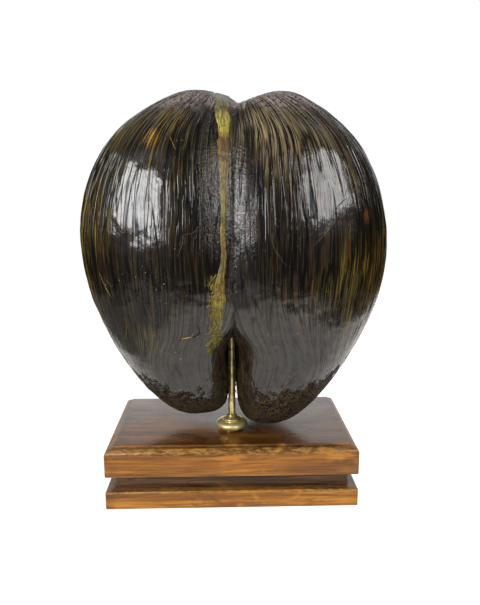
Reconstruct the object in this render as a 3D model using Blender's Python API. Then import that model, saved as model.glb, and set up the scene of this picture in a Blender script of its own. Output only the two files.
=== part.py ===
"""A coco de mer nut on a brass rod over a stepped hardwood plinth.

Metres, +Z up. The origin is the middle of the plinth's underside, and the front faces -Y.
The nut is one grown piece: two lobes joined above a narrow cleft, a raised seam in the valley between
them, and ridges that run from the top of each lobe down to its foot.
"""

import math
from dataclasses import dataclass

import bmesh
import bpy
from mathutils import Vector
from mathutils.bvhtree import BVHTree

# Room left between pieces that touch
GAP = 0.0003

# Plinth
PLINTH_WIDTH = 0.220
PLINTH_DEPTH = 0.132
LOWER_HEIGHT = 0.0158
NECK_HEIGHT = 0.0132
UPPER_HEIGHT = 0.0267
PLINTH_TOP = LOWER_HEIGHT + NECK_HEIGHT + UPPER_HEIGHT
NECK_INSET = 0.0078
LOWER_EDGE_RADIUS = 0.0014
LOWER_EDGE_SEGMENTS = 3
LOWER_EDGE_BREAK = 0.0004
UPPER_EDGE_BREAK = 0.0006
PANEL_EDGE_BREAK = 0.0003
PANEL_INSET = 0.0068
PANEL_STEP = 0.0016
MOULDING_DROP = 0.0072
MOULDING_SEGMENTS = 6
BORE_OVERSHOOT = 0.010

# Rod and foot; the foot's sizes are radii, and heights above the plinth's top
ROD_X = 0.0004
ROD_Y = -0.0230
ROD_RADIUS = 0.00325
ROD_SIDES = 32
ROD_BOTTOM = 0.0050
ROD_LENGTH_ABOVE_PLINTH = 0.150
ROD_TOP = PLINTH_TOP + ROD_LENGTH_ABOVE_PLINTH
ROD_CHAMFER = 0.0006
FOOT_LIP_RADIUS = 0.0093
FOOT_LIP_HEIGHT = 0.0013
FOOT_LIP_BREAK = 0.0003
FOOT_BEAD_CENTRE = (0.0096, 0.0050)
FOOT_BEAD_RADII = (0.0049, 0.0037)
FOOT_STEP_RADIUS = 0.0090
FOOT_STEP_HEIGHT = 0.0088
FOOT_COLLAR_CENTRE = (0.0070, 0.0099)
FOOT_COLLAR_RADIUS = 0.0008
FOOT_NECK = ((0.0058, 0.0112), (0.0049, 0.0125), (0.0044, 0.0142))

# Nut: its middle plane, the pace of its surface grid, and its ridges
NUT_Y = -0.006
LOBE_COLUMNS = 120
LOBE_RIDGES = 48
ROWS_PER_STATION = (3, 2, 2, 2, 2, 2, 2, 4, 2, 2, 3)
OUTER_FULLNESS = 2.15
RIDGE_HEIGHT = 0.0024
RIDGE_VARIATION = 0.20
RIDGE_VARIATION_PACE = 2.4
RIDGE_LEAST = 0.35
RIDGE_FADE_BOTTOM = 0.010
RIDGE_FADE_LENGTH = 0.110
WALL_SMOOTHNESS = 0.85
POLE_FADE = 0.7
DRILL_START = 0.020
SMOOTH_NUT_ANGLE = 24.0
SMOOTH_BRASS_ANGLE = 30.0


@dataclass(frozen=True)
class Station:
    """One slanted section of a lobe: its two ends in the middle plane, and its half thickness.

    Heights are above the plinth's top. The inner end lies beyond the middle plane where the lobes are
    joined, and on the wall of the cleft below it. waist is the thickest place, as a share of the way
    from the outer end to the inner one. fullness is how square the inner half is: 2 is an ellipse.
    """

    outer_x: float
    outer_z: float
    inner_x: float
    inner_z: float
    half_thickness: float
    waist: float
    fullness: float


LEFT_LOBE = (
    Station(-0.0130, 0.2980, -0.0130, 0.2980, 0.000, 0.45, 2.15),
    Station(-0.0465, 0.2966, 0.0170, 0.2820, 0.036, 0.44, 2.15),
    Station(-0.0898, 0.2720, 0.0340, 0.2560, 0.058, 0.46, 2.15),
    Station(-0.1150, 0.2380, 0.0410, 0.2280, 0.073, 0.50, 2.15),
    Station(-0.1275, 0.2010, 0.0440, 0.1960, 0.082, 0.53, 2.15),
    Station(-0.1290, 0.1650, 0.0440, 0.1660, 0.085, 0.53, 2.15),
    Station(-0.1230, 0.1290, 0.0400, 0.1390, 0.084, 0.53, 2.20),
    Station(-0.1110, 0.0980, 0.0250, 0.1150, 0.081, 0.52, 2.60),
    Station(-0.0950, 0.0700, -0.0033, 0.0890, 0.075, 0.50, 3.50),
    Station(-0.0765, 0.0435, -0.0033, 0.0530, 0.064, 0.50, 3.50),
    Station(-0.0525, 0.0238, -0.0048, 0.0275, 0.044, 0.50, 3.00),
    Station(-0.0225, 0.0190, -0.0225, 0.0190, 0.000, 0.50, 2.30),
)

RIGHT_LOBE = (
    Station(0.0145, 0.2900, 0.0145, 0.2900, 0.000, 0.45, 2.15),
    Station(0.0522, 0.2982, -0.0170, 0.2780, 0.036, 0.44, 2.15),
    Station(0.0968, 0.2715, -0.0330, 0.2540, 0.058, 0.47, 2.15),
    Station(0.1215, 0.2360, -0.0400, 0.2260, 0.073, 0.52, 2.15),
    Station(0.1335, 0.1990, -0.0430, 0.1950, 0.082, 0.54, 2.15),
    Station(0.1365, 0.1630, -0.0430, 0.1650, 0.085, 0.55, 2.15),
    Station(0.1315, 0.1270, -0.0380, 0.1380, 0.084, 0.55, 2.20),
    Station(0.1190, 0.0955, -0.0220, 0.1150, 0.081, 0.53, 2.60),
    Station(0.1020, 0.0665, 0.0041, 0.0880, 0.075, 0.50, 3.50),
    Station(0.0830, 0.0375, 0.0041, 0.0510, 0.064, 0.50, 3.50),
    Station(0.0580, 0.0150, 0.0090, 0.0180, 0.044, 0.50, 3.00),
    Station(0.0300, 0.0046, 0.0300, 0.0046, 0.000, 0.50, 2.30),
)

# Raised seam: half width at shares of the way from the cleft in front over the top to the back
SEAM_HALF_WIDTHS = (0.0050, 0.0062, 0.0024, 0.0020, 0.0026, 0.0048, 0.0040, 0.0030, 0.0030, 0.0034, 0.0040)
SEAM_PROFILE = ((-1.0, 0.2), (-0.45, 1.0), (0.45, 1.0), (1.0, 0.2))
SEAM_STEPS = 52
SEAM_START = math.radians(-44.0)
SEAM_END = math.radians(222.0)
SEAM_CENTRE_HEIGHT = 0.185
SEAM_X = -0.0022
SEAM_BOW = 0.0058
SEAM_PROUD = 0.0017
SEAM_LEAST_PROUD = 0.4
SEAM_END_TAPER = 6.0
SEAM_SUNK = 0.0030
SEAM_RAGGED = 0.16
SEAM_RAGGED_PACE = 7.0
RAY_START = 0.400


def clear_scene():
    """Remove every object of the scene that is open."""
    for obj in list(bpy.data.objects):
        bpy.data.objects.remove(obj, do_unlink=True)


def make_material(name, colour, roughness, metallic=0.0):
    """Return a Principled material of one colour."""
    material = bpy.data.materials.new(name)
    material.use_nodes = True
    shader = material.node_tree.nodes["Principled BSDF"]
    shader.inputs["Base Color"].default_value = (*colour, 1.0)
    shader.inputs["Roughness"].default_value = roughness
    shader.inputs["Metallic"].default_value = metallic
    return material


def add_object(name, mesh, material, smooth_angle=None):
    """Put a mesh in the scene under its name, with its material."""
    mesh.materials.clear()
    mesh.materials.append(material)
    if smooth_angle is not None:
        mesh.shade_smooth()
        mesh.set_sharp_from_angle(angle=math.radians(smooth_angle))
    obj = bpy.data.objects.new(name, mesh)
    bpy.context.collection.objects.link(obj)
    return obj


def mesh_from(name, vertices, faces):
    """Return a closed mesh from its points and faces, with its faces pointing out."""
    mesh = bpy.data.meshes.new(name)
    mesh.from_pydata(vertices, [], faces)
    build = bmesh.new()
    build.from_mesh(mesh)
    bmesh.ops.recalc_face_normals(build, faces=build.faces)
    build.to_mesh(mesh)
    build.free()
    return mesh


def evaluated_mesh(obj):
    """Return a copy of an object's mesh with its modifiers in it."""
    depsgraph = bpy.context.evaluated_depsgraph_get()
    return bpy.data.meshes.new_from_object(obj.evaluated_get(depsgraph), depsgraph=depsgraph)


def combine(name, body, tool, operation, solver="EXACT"):
    """Join a body with a tool, or cut it by one, and return the result's mesh."""
    modifier = body.modifiers.new(operation.title(), "BOOLEAN")
    modifier.operation = operation
    modifier.object = tool
    modifier.solver = solver
    mesh = evaluated_mesh(body)
    mesh.name = name
    bpy.data.objects.remove(body, do_unlink=True)
    bpy.data.objects.remove(tool, do_unlink=True)
    return mesh


# Turned pieces

def ring_points(centre_x, centre_y, radius, height, sides):
    """Return the corners of a level ring."""
    points = []
    for index in range(sides):
        angle = 2.0 * math.pi * index / sides
        points.append((centre_x + radius * math.cos(angle), centre_y + radius * math.sin(angle), height))
    return points


def turned_mesh(name, profile, sides, centre_x, centre_y):
    """Return a closed solid turned round a vertical line from a closed profile of (radius, height)."""
    vertices = []
    for radius, height in profile:
        vertices += ring_points(centre_x, centre_y, radius, height, sides)
    faces = []
    count = len(profile)
    for row in range(count):
        below = (row + 1) % count
        for index in range(sides):
            side = (index + 1) % sides
            here, there = row * sides, below * sides
            faces.append((here + index, here + side, there + side, there + index))
    return mesh_from(name, vertices, faces)


def solid_rod_mesh(name, radius, bottom, top, chamfer=0.0, sides=ROD_SIDES):
    """Return a capped vertical rod on the rod's axis, with a small chamfer at both ends or none."""
    rings = [(radius, bottom), (radius, top)]
    if chamfer > 0.0:
        rings = [(radius - chamfer, bottom), (radius, bottom + chamfer)]
        rings += [(radius, top - chamfer), (radius - chamfer, top)]
    vertices = []
    for ring_radius, height in rings:
        vertices += ring_points(ROD_X, ROD_Y, ring_radius, height, sides)
    faces = [tuple(range(sides)), tuple(range(len(vertices) - sides, len(vertices)))]
    for row in range(len(rings) - 1):
        for index in range(sides):
            side = (index + 1) % sides
            start = row * sides
            faces.append((start + index, start + side, start + sides + side, start + sides + index))
    return mesh_from(name, vertices, faces)


def arc(centre_r, centre_z, radius_r, radius_z, start, end, steps):
    """Return points on an arc of an ellipse, in degrees from the outward side and turning up."""
    points = []
    for step in range(steps + 1):
        angle = math.radians(start + (end - start) * step / steps)
        points.append((centre_r + radius_r * math.cos(angle), centre_z + radius_z * math.sin(angle)))
    return points


def foot_profile():
    """Return the foot's outline from its base over lip, bead, collar and neck and back down the bore."""
    bore = ROD_RADIUS + GAP
    outline = [
        (FOOT_LIP_RADIUS - FOOT_LIP_BREAK, 0.0),
        (FOOT_LIP_RADIUS, FOOT_LIP_BREAK),
        (FOOT_LIP_RADIUS, FOOT_LIP_HEIGHT),
    ]
    outline += arc(*FOOT_BEAD_CENTRE, *FOOT_BEAD_RADII, -85.0, 62.0, 9)
    outline.append((FOOT_STEP_RADIUS, FOOT_STEP_HEIGHT))
    outline += arc(*FOOT_COLLAR_CENTRE, FOOT_COLLAR_RADIUS, FOOT_COLLAR_RADIUS, -60.0, 90.0, 4)
    outline += FOOT_NECK
    outline += [(bore, FOOT_NECK[-1][1]), (bore, 0.0)]
    return [(radius, PLINTH_TOP + GAP + height) for radius, height in outline]


# Plinth

def moulded_board_mesh(name, outline):
    """Return a rectangular board with mitred corners, from (inset, height) points, bottom to top."""
    vertices = []
    for inset, height in outline:
        half_width = PLINTH_WIDTH / 2.0 - inset
        half_depth = PLINTH_DEPTH / 2.0 - inset
        vertices += [
            (-half_width, -half_depth, height),
            (half_width, -half_depth, height),
            (half_width, half_depth, height),
            (-half_width, half_depth, height),
        ]
    last = 4 * (len(outline) - 1)
    faces = [(0, 1, 2, 3), (last, last + 1, last + 2, last + 3)]
    for row in range(len(outline) - 1):
        for corner in range(4):
            side = (corner + 1) % 4
            start = 4 * row
            faces.append((start + corner, start + side, start + 4 + side, start + 4 + corner))
    return mesh_from(name, vertices, faces)


def upper_outline():
    """Return the upper board's edge: a plain face, a quarter round and a raised top panel."""
    bottom = LOWER_HEIGHT + NECK_HEIGHT + GAP
    round_drop = MOULDING_DROP - PANEL_STEP
    round_width = PANEL_INSET - UPPER_EDGE_BREAK
    outline = [(UPPER_EDGE_BREAK, bottom), (0.0, bottom + UPPER_EDGE_BREAK)]
    for step in range(MOULDING_SEGMENTS + 1):
        angle = 0.5 * math.pi * step / MOULDING_SEGMENTS
        inset = round_width * (1.0 - math.cos(angle))
        height = PLINTH_TOP - MOULDING_DROP + round_drop * math.sin(angle)
        outline.append((inset, height))
    outline.append((PANEL_INSET, PLINTH_TOP - PANEL_STEP))
    outline.append((PANEL_INSET, PLINTH_TOP - PANEL_EDGE_BREAK))
    outline.append((PANEL_INSET + PANEL_EDGE_BREAK, PLINTH_TOP))
    return outline


def lower_outline():
    """Return the lower board's edge, with its top edge a little rounded."""
    outline = [(LOWER_EDGE_BREAK, 0.0), (0.0, LOWER_EDGE_BREAK)]
    for step in range(LOWER_EDGE_SEGMENTS + 1):
        angle = 0.5 * math.pi * step / LOWER_EDGE_SEGMENTS
        inset = LOWER_EDGE_RADIUS * (1.0 - math.cos(angle))
        outline.append((inset, LOWER_HEIGHT - LOWER_EDGE_RADIUS * (1.0 - math.sin(angle))))
    return outline


def neck_outline():
    """Return the recessed board's edge."""
    return [(NECK_INSET, LOWER_HEIGHT + GAP), (NECK_INSET, LOWER_HEIGHT + NECK_HEIGHT)]


def add_board(name, outline, material, bore_bottom):
    """Add a board with the rod's hole in it, from bore_bottom up."""
    board = add_object(name + "_body", moulded_board_mesh(name + "_body", outline), material)
    bore = solid_rod_mesh(name + "_bore", ROD_RADIUS + GAP, bore_bottom, PLINTH_TOP + BORE_OVERSHOOT)
    mesh = combine(name, board, add_object(name + "_bore", bore, material), "DIFFERENCE")
    return add_object(name, mesh, material)


# Nut

def spline(values, place):
    """Return a value of a smooth curve through values, at a place counted in steps along them."""
    index = min(int(place), len(values) - 2)
    share = place - index
    before = values[index - 1] if index > 0 else values[0]
    after = values[index + 2] if index + 2 < len(values) else values[-1]
    here, there = values[index], values[index + 1]
    slope_here = 0.5 * (there - before)
    slope_there = 0.5 * (after - here)
    square, cube = share * share, share * share * share
    return (
        (2.0 * cube - 3.0 * square + 1.0) * here
        + (cube - 2.0 * square + share) * slope_here
        + (3.0 * square - 2.0 * cube) * there
        + (cube - square) * slope_there
    )


def loop_value(lobe, outer, inner, place):
    """Return an outline value at a place, with the outer and inner ends read as one closed loop."""
    last = len(lobe) - 1
    ahead = [getattr(station, outer) for station in lobe]
    back = [getattr(station, inner) for station in lobe]
    values = [back[1]] + ahead + [back[last - 1]]
    return spline(values, place + 1.0)


def section(lobe, place):
    """Return a section's outer end, inner end, half thickness, waist and fullness."""
    outer = Vector()
    outer.x = loop_value(lobe, "outer_x", "inner_x", place)
    outer.z = loop_value(lobe, "outer_z", "inner_z", place)
    inner = Vector()
    inner.x = loop_value(lobe, "inner_x", "outer_x", place)
    inner.z = loop_value(lobe, "inner_z", "outer_z", place)
    halves = [station.half_thickness for station in lobe]
    half = spline([-halves[1]] + halves + [-halves[-2]], place + 1.0)
    waist = spline([station.waist for station in lobe], place)
    fullness = spline([station.fullness for station in lobe], place)
    return outer, inner, half, waist, fullness


def ridge(column, height):
    """Return how far a column of the grid stands out: ridge and groove by turns, no two alike.

    The ridges are low on the foot of a lobe and lowest on the wall of the cleft.
    """
    wave = math.cos(2.0 * math.pi * LOBE_RIDGES * column / LOBE_COLUMNS)
    strength = 1.0 - RIDGE_VARIATION + RIDGE_VARIATION * math.sin(RIDGE_VARIATION_PACE * column)
    fade = min(1.0, max(0.0, (height - RIDGE_FADE_BOTTOM) / RIDGE_FADE_LENGTH))
    inward = max(0.0, -math.cos(2.0 * math.pi * column / LOBE_COLUMNS))
    wall = 1.0 - WALL_SMOOTHNESS * inward ** 3
    return 0.5 * RIDGE_HEIGHT * wave * strength * (RIDGE_LEAST + (1.0 - RIDGE_LEAST) * fade) * wall


def lobe_point(lobe, place, angle):
    """Return a point of a lobe's smooth surface, at a section's place and an angle round it."""
    outer, inner, half, waist, fullness = section(lobe, place)
    centre = outer.lerp(inner, waist)
    across = math.cos(angle)
    if across >= 0.0:
        reach, power = outer - centre, 2.0 / OUTER_FULLNESS
    else:
        reach, power = inner - centre, 2.0 / fullness
    depth = math.copysign(abs(math.sin(angle)) ** power, math.sin(angle)) * half
    point = centre + reach * abs(across) ** power
    return Vector((point.x, NUT_Y - depth, PLINTH_TOP + point.z))


def lobe_mesh(name, lobe):
    """Return a lobe as a closed grid from its top to its foot, with its ridges raised."""
    places = [step + row / rows for step, rows in enumerate(ROWS_PER_STATION) for row in range(rows)]
    places.pop(0)
    angles = [2.0 * math.pi * column / LOBE_COLUMNS for column in range(LOBE_COLUMNS)]
    grid = [[lobe_point(lobe, place, angle) for angle in angles] for place in places]
    top = lobe_point(lobe, 0.0, 0.0)
    foot = lobe_point(lobe, len(lobe) - 1.0, 0.0)
    vertices = [top]
    for row, ring in enumerate(grid):
        above = grid[row - 1] if row > 0 else [top] * LOBE_COLUMNS
        below = grid[row + 1] if row + 1 < len(grid) else [foot] * LOBE_COLUMNS
        fade = math.sin(math.pi * places[row] / (len(lobe) - 1)) ** POLE_FADE
        middle = sum(ring, Vector()) / LOBE_COLUMNS
        for column, point in enumerate(ring):
            along = below[column] - above[column]
            round_it = ring[(column + 1) % LOBE_COLUMNS] - ring[column - 1]
            normal = round_it.cross(along).normalized()
            if normal.dot(point - middle) < 0.0:
                normal.negate()
            vertices.append(point + normal * ridge(column, point.z - PLINTH_TOP) * fade)
    vertices.append(foot)
    faces = []
    for column in range(LOBE_COLUMNS):
        side = (column + 1) % LOBE_COLUMNS
        faces.append((0, 1 + column, 1 + side))
        for row in range(len(grid) - 1):
            start = 1 + row * LOBE_COLUMNS
            under = start + LOBE_COLUMNS
            faces.append((start + column, under + column, under + side, start + side))
        start = 1 + (len(grid) - 1) * LOBE_COLUMNS
        faces.append((start + column, len(vertices) - 1, start + side))
    return mesh_from(name, vertices, faces)


def seam_x(angle):
    """Return the seam's place across the nut: it bows to the left in front and runs straight behind."""
    return SEAM_X - SEAM_BOW * max(0.0, math.cos(angle))


def surface_point(trees, x, angle):
    """Return the outermost point of the lobes on a line towards their middle, level with x."""
    middle = Vector((x, NUT_Y, PLINTH_TOP + SEAM_CENTRE_HEIGHT))
    outward = Vector((0.0, -math.cos(angle), math.sin(angle)))
    hits = [tree.ray_cast(middle + outward * RAY_START, -outward)[0] for tree in trees]
    return max((hit for hit in hits if hit is not None), key=lambda hit: hit.dot(outward))


def surface_tree(mesh):
    """Return a mesh's faces as a tree that rays can be cast on."""
    corners = [vertex.co for vertex in mesh.vertices]
    return BVHTree.FromPolygons(corners, [tuple(face.vertices) for face in mesh.polygons])


def seam_mesh(name, lobes):
    """Return the raised seam: a low strip that hugs the valley, from the cleft over the top to the back."""
    trees = [surface_tree(mesh) for mesh in lobes]
    rings = []
    for step in range(SEAM_STEPS + 1):
        share = step / SEAM_STEPS
        angle = SEAM_START + (SEAM_END - SEAM_START) * share
        outward = Vector((0.0, -math.cos(angle), math.sin(angle)))
        half_width = spline(SEAM_HALF_WIDTHS, share * (len(SEAM_HALF_WIDTHS) - 1))
        half_width *= 1.0 + SEAM_RAGGED * math.sin(SEAM_RAGGED_PACE * step)
        taper = min(1.0, SEAM_END_TAPER * share, SEAM_END_TAPER * (1.0 - share))
        proud = SEAM_PROUD * (SEAM_LEAST_PROUD + (1.0 - SEAM_LEAST_PROUD) * taper)
        crest = []
        for across, lift in SEAM_PROFILE:
            point = surface_point(trees, seam_x(angle) + across * half_width, angle)
            crest.append(point + outward * proud * lift)
        sunk = outward * (SEAM_SUNK + proud)
        rings.append([crest[0] - sunk] + crest + [crest[3] - sunk])
    sides = len(rings[0])
    vertices = [corner for ring in rings for corner in ring]
    faces = [tuple(range(sides)), tuple(range(len(vertices) - sides, len(vertices)))]
    for row in range(SEAM_STEPS):
        for index in range(sides):
            side = (index + 1) % sides
            start = row * sides
            faces.append((start + index, start + side, start + sides + side, start + sides + index))
    return mesh_from(name, vertices, faces)


def add_nut(material):
    """Add the nut: both lobes and the seam in one body, with the rod's hole drilled up from the cleft."""
    left = lobe_mesh("left_lobe", LEFT_LOBE)
    right = lobe_mesh("right_lobe", RIGHT_LOBE)
    seam = seam_mesh("seam", (left, right))
    drill = solid_rod_mesh("drill", ROD_RADIUS + GAP, PLINTH_TOP + DRILL_START, ROD_TOP + GAP)
    left_lobe = add_object("left_lobe", left, material)
    right_lobe = add_object("right_lobe", right, material)
    lobes = add_object("lobes", combine("lobes", left_lobe, right_lobe, "UNION"), material)
    seam_strip = add_object("seam", seam, material)
    body = add_object("nut_body", combine("nut_body", lobes, seam_strip, "UNION"), material)
    mesh = combine("nut", body, add_object("drill", drill, material), "DIFFERENCE", solver="MANIFOLD")
    return add_object("nut", mesh, material, SMOOTH_NUT_ANGLE)


def main():
    """Model the whole object."""
    clear_scene()
    shell = make_material("nut_shell", (0.022, 0.012, 0.007), 0.24)
    brass = make_material("brass", (0.72, 0.58, 0.24), 0.22, metallic=1.0)
    wood = make_material("plinth_wood", (0.23, 0.085, 0.028), 0.38)
    dark_wood = make_material("neck_wood", (0.050, 0.018, 0.010), 0.50)

    add_nut(shell)
    rod = solid_rod_mesh("rod", ROD_RADIUS, ROD_BOTTOM, ROD_TOP, ROD_CHAMFER)
    add_object("rod", rod, brass, SMOOTH_BRASS_ANGLE)
    foot = turned_mesh("foot", foot_profile(), ROD_SIDES, ROD_X, ROD_Y)
    add_object("foot", foot, brass, SMOOTH_BRASS_ANGLE)
    add_board("upper_board", upper_outline(), wood, -BORE_OVERSHOOT)
    add_board("neck_board", neck_outline(), dark_wood, -BORE_OVERSHOOT)
    add_board("lower_board", lower_outline(), wood, ROD_BOTTOM - GAP)


main()
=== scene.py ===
"""A coco de mer nut on a brass rod over a stepped hardwood plinth, dressed for a studio picture.

Metres, +Z up, the front faces -Y. The nut's shell, its seam and its loose fibres, the brass and the boards
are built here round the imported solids, in the same frame. Nothing is moved or resized.
"""

import logging
import math
from dataclasses import dataclass
from enum import Enum
from functools import partial, reduce
from typing import Any, Iterable, Sequence

import bmesh
import bpy
import numpy as np
from mathutils import Matrix, Vector
from mathutils.bvhtree import BVHTree
from mathutils.kdtree import KDTree


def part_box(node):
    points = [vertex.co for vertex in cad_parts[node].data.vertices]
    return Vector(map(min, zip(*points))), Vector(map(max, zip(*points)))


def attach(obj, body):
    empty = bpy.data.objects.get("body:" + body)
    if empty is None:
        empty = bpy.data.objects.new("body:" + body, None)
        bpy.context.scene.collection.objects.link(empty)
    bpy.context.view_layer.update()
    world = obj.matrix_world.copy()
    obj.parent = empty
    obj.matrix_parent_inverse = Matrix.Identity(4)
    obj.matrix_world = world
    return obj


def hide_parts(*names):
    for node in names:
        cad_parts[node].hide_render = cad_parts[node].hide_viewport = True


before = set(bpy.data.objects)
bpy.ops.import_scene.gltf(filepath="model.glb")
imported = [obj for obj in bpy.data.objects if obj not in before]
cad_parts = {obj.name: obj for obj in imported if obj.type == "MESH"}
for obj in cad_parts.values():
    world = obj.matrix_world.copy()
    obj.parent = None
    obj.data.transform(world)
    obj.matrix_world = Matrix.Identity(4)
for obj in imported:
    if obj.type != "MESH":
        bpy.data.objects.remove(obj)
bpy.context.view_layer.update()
BODY = "root"
LOG = logging.getLogger("coco_de_mer")

Pair = tuple[float, float]
Point = tuple[float, float, float]
Colour = tuple[float, float, float]
Faces = list[tuple[int, ...]]
Input = Any


class Slot(Enum):
    """The record's material slots."""

    SHELL = "nut_shell"
    BRASS = "brass"
    WOOD = "plinth_wood"
    DARK_WOOD = "neck_wood"


# Sizes read from the solids

FOOT_LOW, FOOT_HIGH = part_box("foot")
ROD_LOW, ROD_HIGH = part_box("rod")
UPPER_LOW, UPPER_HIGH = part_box("upper_board")
NECK_LOW, NECK_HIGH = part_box("neck_board")
LOWER_LOW, LOWER_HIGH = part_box("lower_board")
PLINTH_TOP = UPPER_HIGH.z
ROD_X = 0.5 * (ROD_LOW.x + ROD_HIGH.x)
ROD_Y = 0.5 * (ROD_LOW.y + ROD_HIGH.y)
ROD_RADIUS = 0.5 * (ROD_HIGH.x - ROD_LOW.x)
ROD_ROOM = 0.0003
DRILL_SIDES = 64


# Node trees

class Bench:
    """Adds nodes to one node tree, each with its settings and inputs in one call."""

    def __init__(self, tree: bpy.types.NodeTree) -> None:
        """Work on a shader or geometry tree."""
        self.tree = tree

    def feed(self, node: bpy.types.Node, inputs: dict[Any, Input]) -> None:
        """Set a node's inputs.

        Args:
            node: The node.
            inputs: Sockets by name or number, with the value or the output that goes in.
        """
        for key, value in inputs.items():
            if isinstance(value, bpy.types.NodeSocket):
                self.tree.links.new(value, node.inputs[key])
            else:
                node.inputs[key].default_value = value

    def add(self, kind: str, inputs: dict[Any, Input] | None = None, **settings: Any) -> bpy.types.Node:
        """Add a node.

        Args:
            kind: The node's type name.
            inputs: Sockets by name or number, with what goes in.
            **settings: The node's own properties.

        Returns:
            The new node.
        """
        node = self.tree.nodes.new(kind)
        for name, value in settings.items():
            setattr(node, name, value)
        self.feed(node, inputs or {})
        return node

    def math(self, operation: str, first: Input, second: Input = 0.0) -> Input:
        """Return the result of a Math node."""
        return self.add("ShaderNodeMath", {0: first, 1: second}, operation=operation).outputs[0]

    def times(self, *values: Input) -> Input:
        """Return the product of numbers."""
        return reduce(partial(self.math, "MULTIPLY"), values)

    def plus(self, *values: Input) -> Input:
        """Return the sum of numbers."""
        return reduce(partial(self.math, "ADD"), values)

    def most(self, *values: Input) -> Input:
        """Return the largest of some numbers."""
        return reduce(partial(self.math, "MAXIMUM"), values)

    def minus(self, first: Input, second: Input) -> Input:
        """Return the difference of two numbers."""
        return self.math("SUBTRACT", first, second)

    def away(self, value: Input, middle: float = 0.0) -> Input:
        """Return how far a number is from a middle."""
        return self.math("ABSOLUTE", self.minus(value, middle))

    def vector(self, operation: str, first: Input, second: Input, result: str = "Vector") -> Input:
        """Return a result of a Vector Math node."""
        return self.add("ShaderNodeVectorMath", {0: first, 1: second}, operation=operation).outputs[result]

    def axis(self, vector: Input, name: str) -> Input:
        """Return one coordinate of a vector."""
        return self.add("ShaderNodeSeparateXYZ", {0: vector}).outputs[name]

    def position(self) -> Input:
        """Return the point in the object's coordinates."""
        return self.add("ShaderNodeTexCoord").outputs["Object"]

    def attribute(self, name: str, result: str = "Fac") -> Input:
        """Return an attribute of the mesh."""
        return self.add("ShaderNodeAttribute", attribute_name=name).outputs[result]

    def noise(self, place: Input, scale: Input, detail: float = 2.0, roughness: float = 0.5,
              wander: float = 0.0) -> Input:
        """Return smooth noise from 0 to 1, with so many cells to a unit."""
        inputs = {0: place, "Scale": scale, "Detail": detail, "Roughness": roughness, "Distortion": wander}
        return self.add("ShaderNodeTexNoise", inputs).outputs[0]

    def stretched(self, place: Input, paces: Point, *settings: float) -> Input:
        """Return noise with its own number of cells along each axis."""
        return self.noise(self.vector("MULTIPLY", place, paces), 1.0, *settings)

    def ramp(self, value: Input, low: Input, high: Input, to_low: Input = 0.0,
             to_high: Input = 1.0) -> Input:
        """Return a number eased from one range into another and held there."""
        inputs = {"Value": value, "From Min": low, "From Max": high, "To Min": to_low, "To Max": to_high}
        return self.add("ShaderNodeMapRange", inputs, interpolation_type="SMOOTHSTEP").outputs["Result"]

    def fade(self, share: Input, at_none: float, at_all: float) -> Input:
        """Return a number that eases from one value to another with a share."""
        return self.ramp(share, 0.0, 1.0, at_none, at_all)

    def mix(self, factor: Input, first: Input, second: Input, blend: str = "MIX") -> Input:
        """Return two colours mixed.

        Args:
            factor: The second colour's share.
            first: The first colour.
            second: The second colour.
            blend: How they are mixed.

        Returns:
            The colour's socket.
        """
        inputs = {0: factor, 6: first, 7: second}
        for key in (6, 7):
            if not isinstance(inputs[key], bpy.types.NodeSocket):
                inputs[key] = (*inputs[key], 1.0)
        node = self.add("ShaderNodeMix", inputs, data_type="RGBA", blend_type=blend, clamp_factor=True)
        return node.outputs[2]

    def layers(self, ground: Input, layers: Iterable[tuple[Input, Input]]) -> Input:
        """Return a colour with others laid over it, each given as its share and its colour."""
        return reduce(lambda below, layer: self.mix(layer[0], below, layer[1]), layers, ground)

    def colours(self, value: Input, stops: Sequence[tuple[float, Colour]]) -> Input:
        """Return a colour read from a band of colours.

        Args:
            value: The place on the band, from 0 to 1.
            stops: Places and their colours, in order.

        Returns:
            The colour's socket.
        """
        node = self.add("ShaderNodeValToRGB", {0: value})
        band = node.color_ramp.elements
        while len(band) < len(stops):
            band.new(1.0)
        for element, (place, colour) in zip(band, stops):
            element.position = place
            element.color = (*colour, 1.0)
        return node.outputs[0]

    def bump(self, height: Input, distance: float) -> Input:
        """Return a normal tilted by a height from 0 to 1, which measures a distance in metres."""
        inputs = {"Height": height, "Distance": distance, "Strength": 1.0}
        return self.add("ShaderNodeBump", inputs).outputs[0]


def new_material(name: str) -> tuple[bpy.types.Material, Bench, bpy.types.Node]:
    """Return a new material, a bench on its tree, and its Principled shader.

    Args:
        name: The material's name.
    """
    material = bpy.data.materials.new(name)
    material.use_nodes = True
    return material, Bench(material.node_tree), material.node_tree.nodes["Principled BSDF"]


def streak_place(bench: Bench, meridian: Input, round_pace: Input, along_pace: float) -> Input:
    """Return where noise makes streaks, with cells to a radian round a lobe and from pole to pole."""
    scale = bench.add("ShaderNodeCombineXYZ", {0: round_pace, 1: round_pace, 2: along_pace}).outputs[0]
    return bench.vector("MULTIPLY", meridian, scale)


def crease(bench: Bench, place: Input, wander: float) -> Input:
    """Return how far a streak point is from wandering lines that run with the streaks: 0 on a line."""
    return bench.away(bench.noise(place, 1.0, 1.5, 0.45, wander), 0.5)


# Finishes

BLACK: Colour = (0.0, 0.0, 0.0)
WHITE: Colour = (1.0, 1.0, 1.0)
SOFT_EDGE = 0.35


@dataclass(frozen=True)
class Patch:
    """A round part of the shell, strongest in its middle, where the streaks are worn to a lighter tone."""

    centre: Point
    radius: float
    strength: float

    def share(self, bench: Bench, position: Input) -> Input:
        """Return how strong the patch is at a point."""
        distance = bench.vector("DISTANCE", position, self.centre, "Value")
        return bench.ramp(distance, self.radius, SOFT_EDGE * self.radius, 0.0, self.strength)


@dataclass(frozen=True)
class Stain(Patch):
    """A patch where one colour shows in thin lines."""

    colour: Colour


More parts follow.
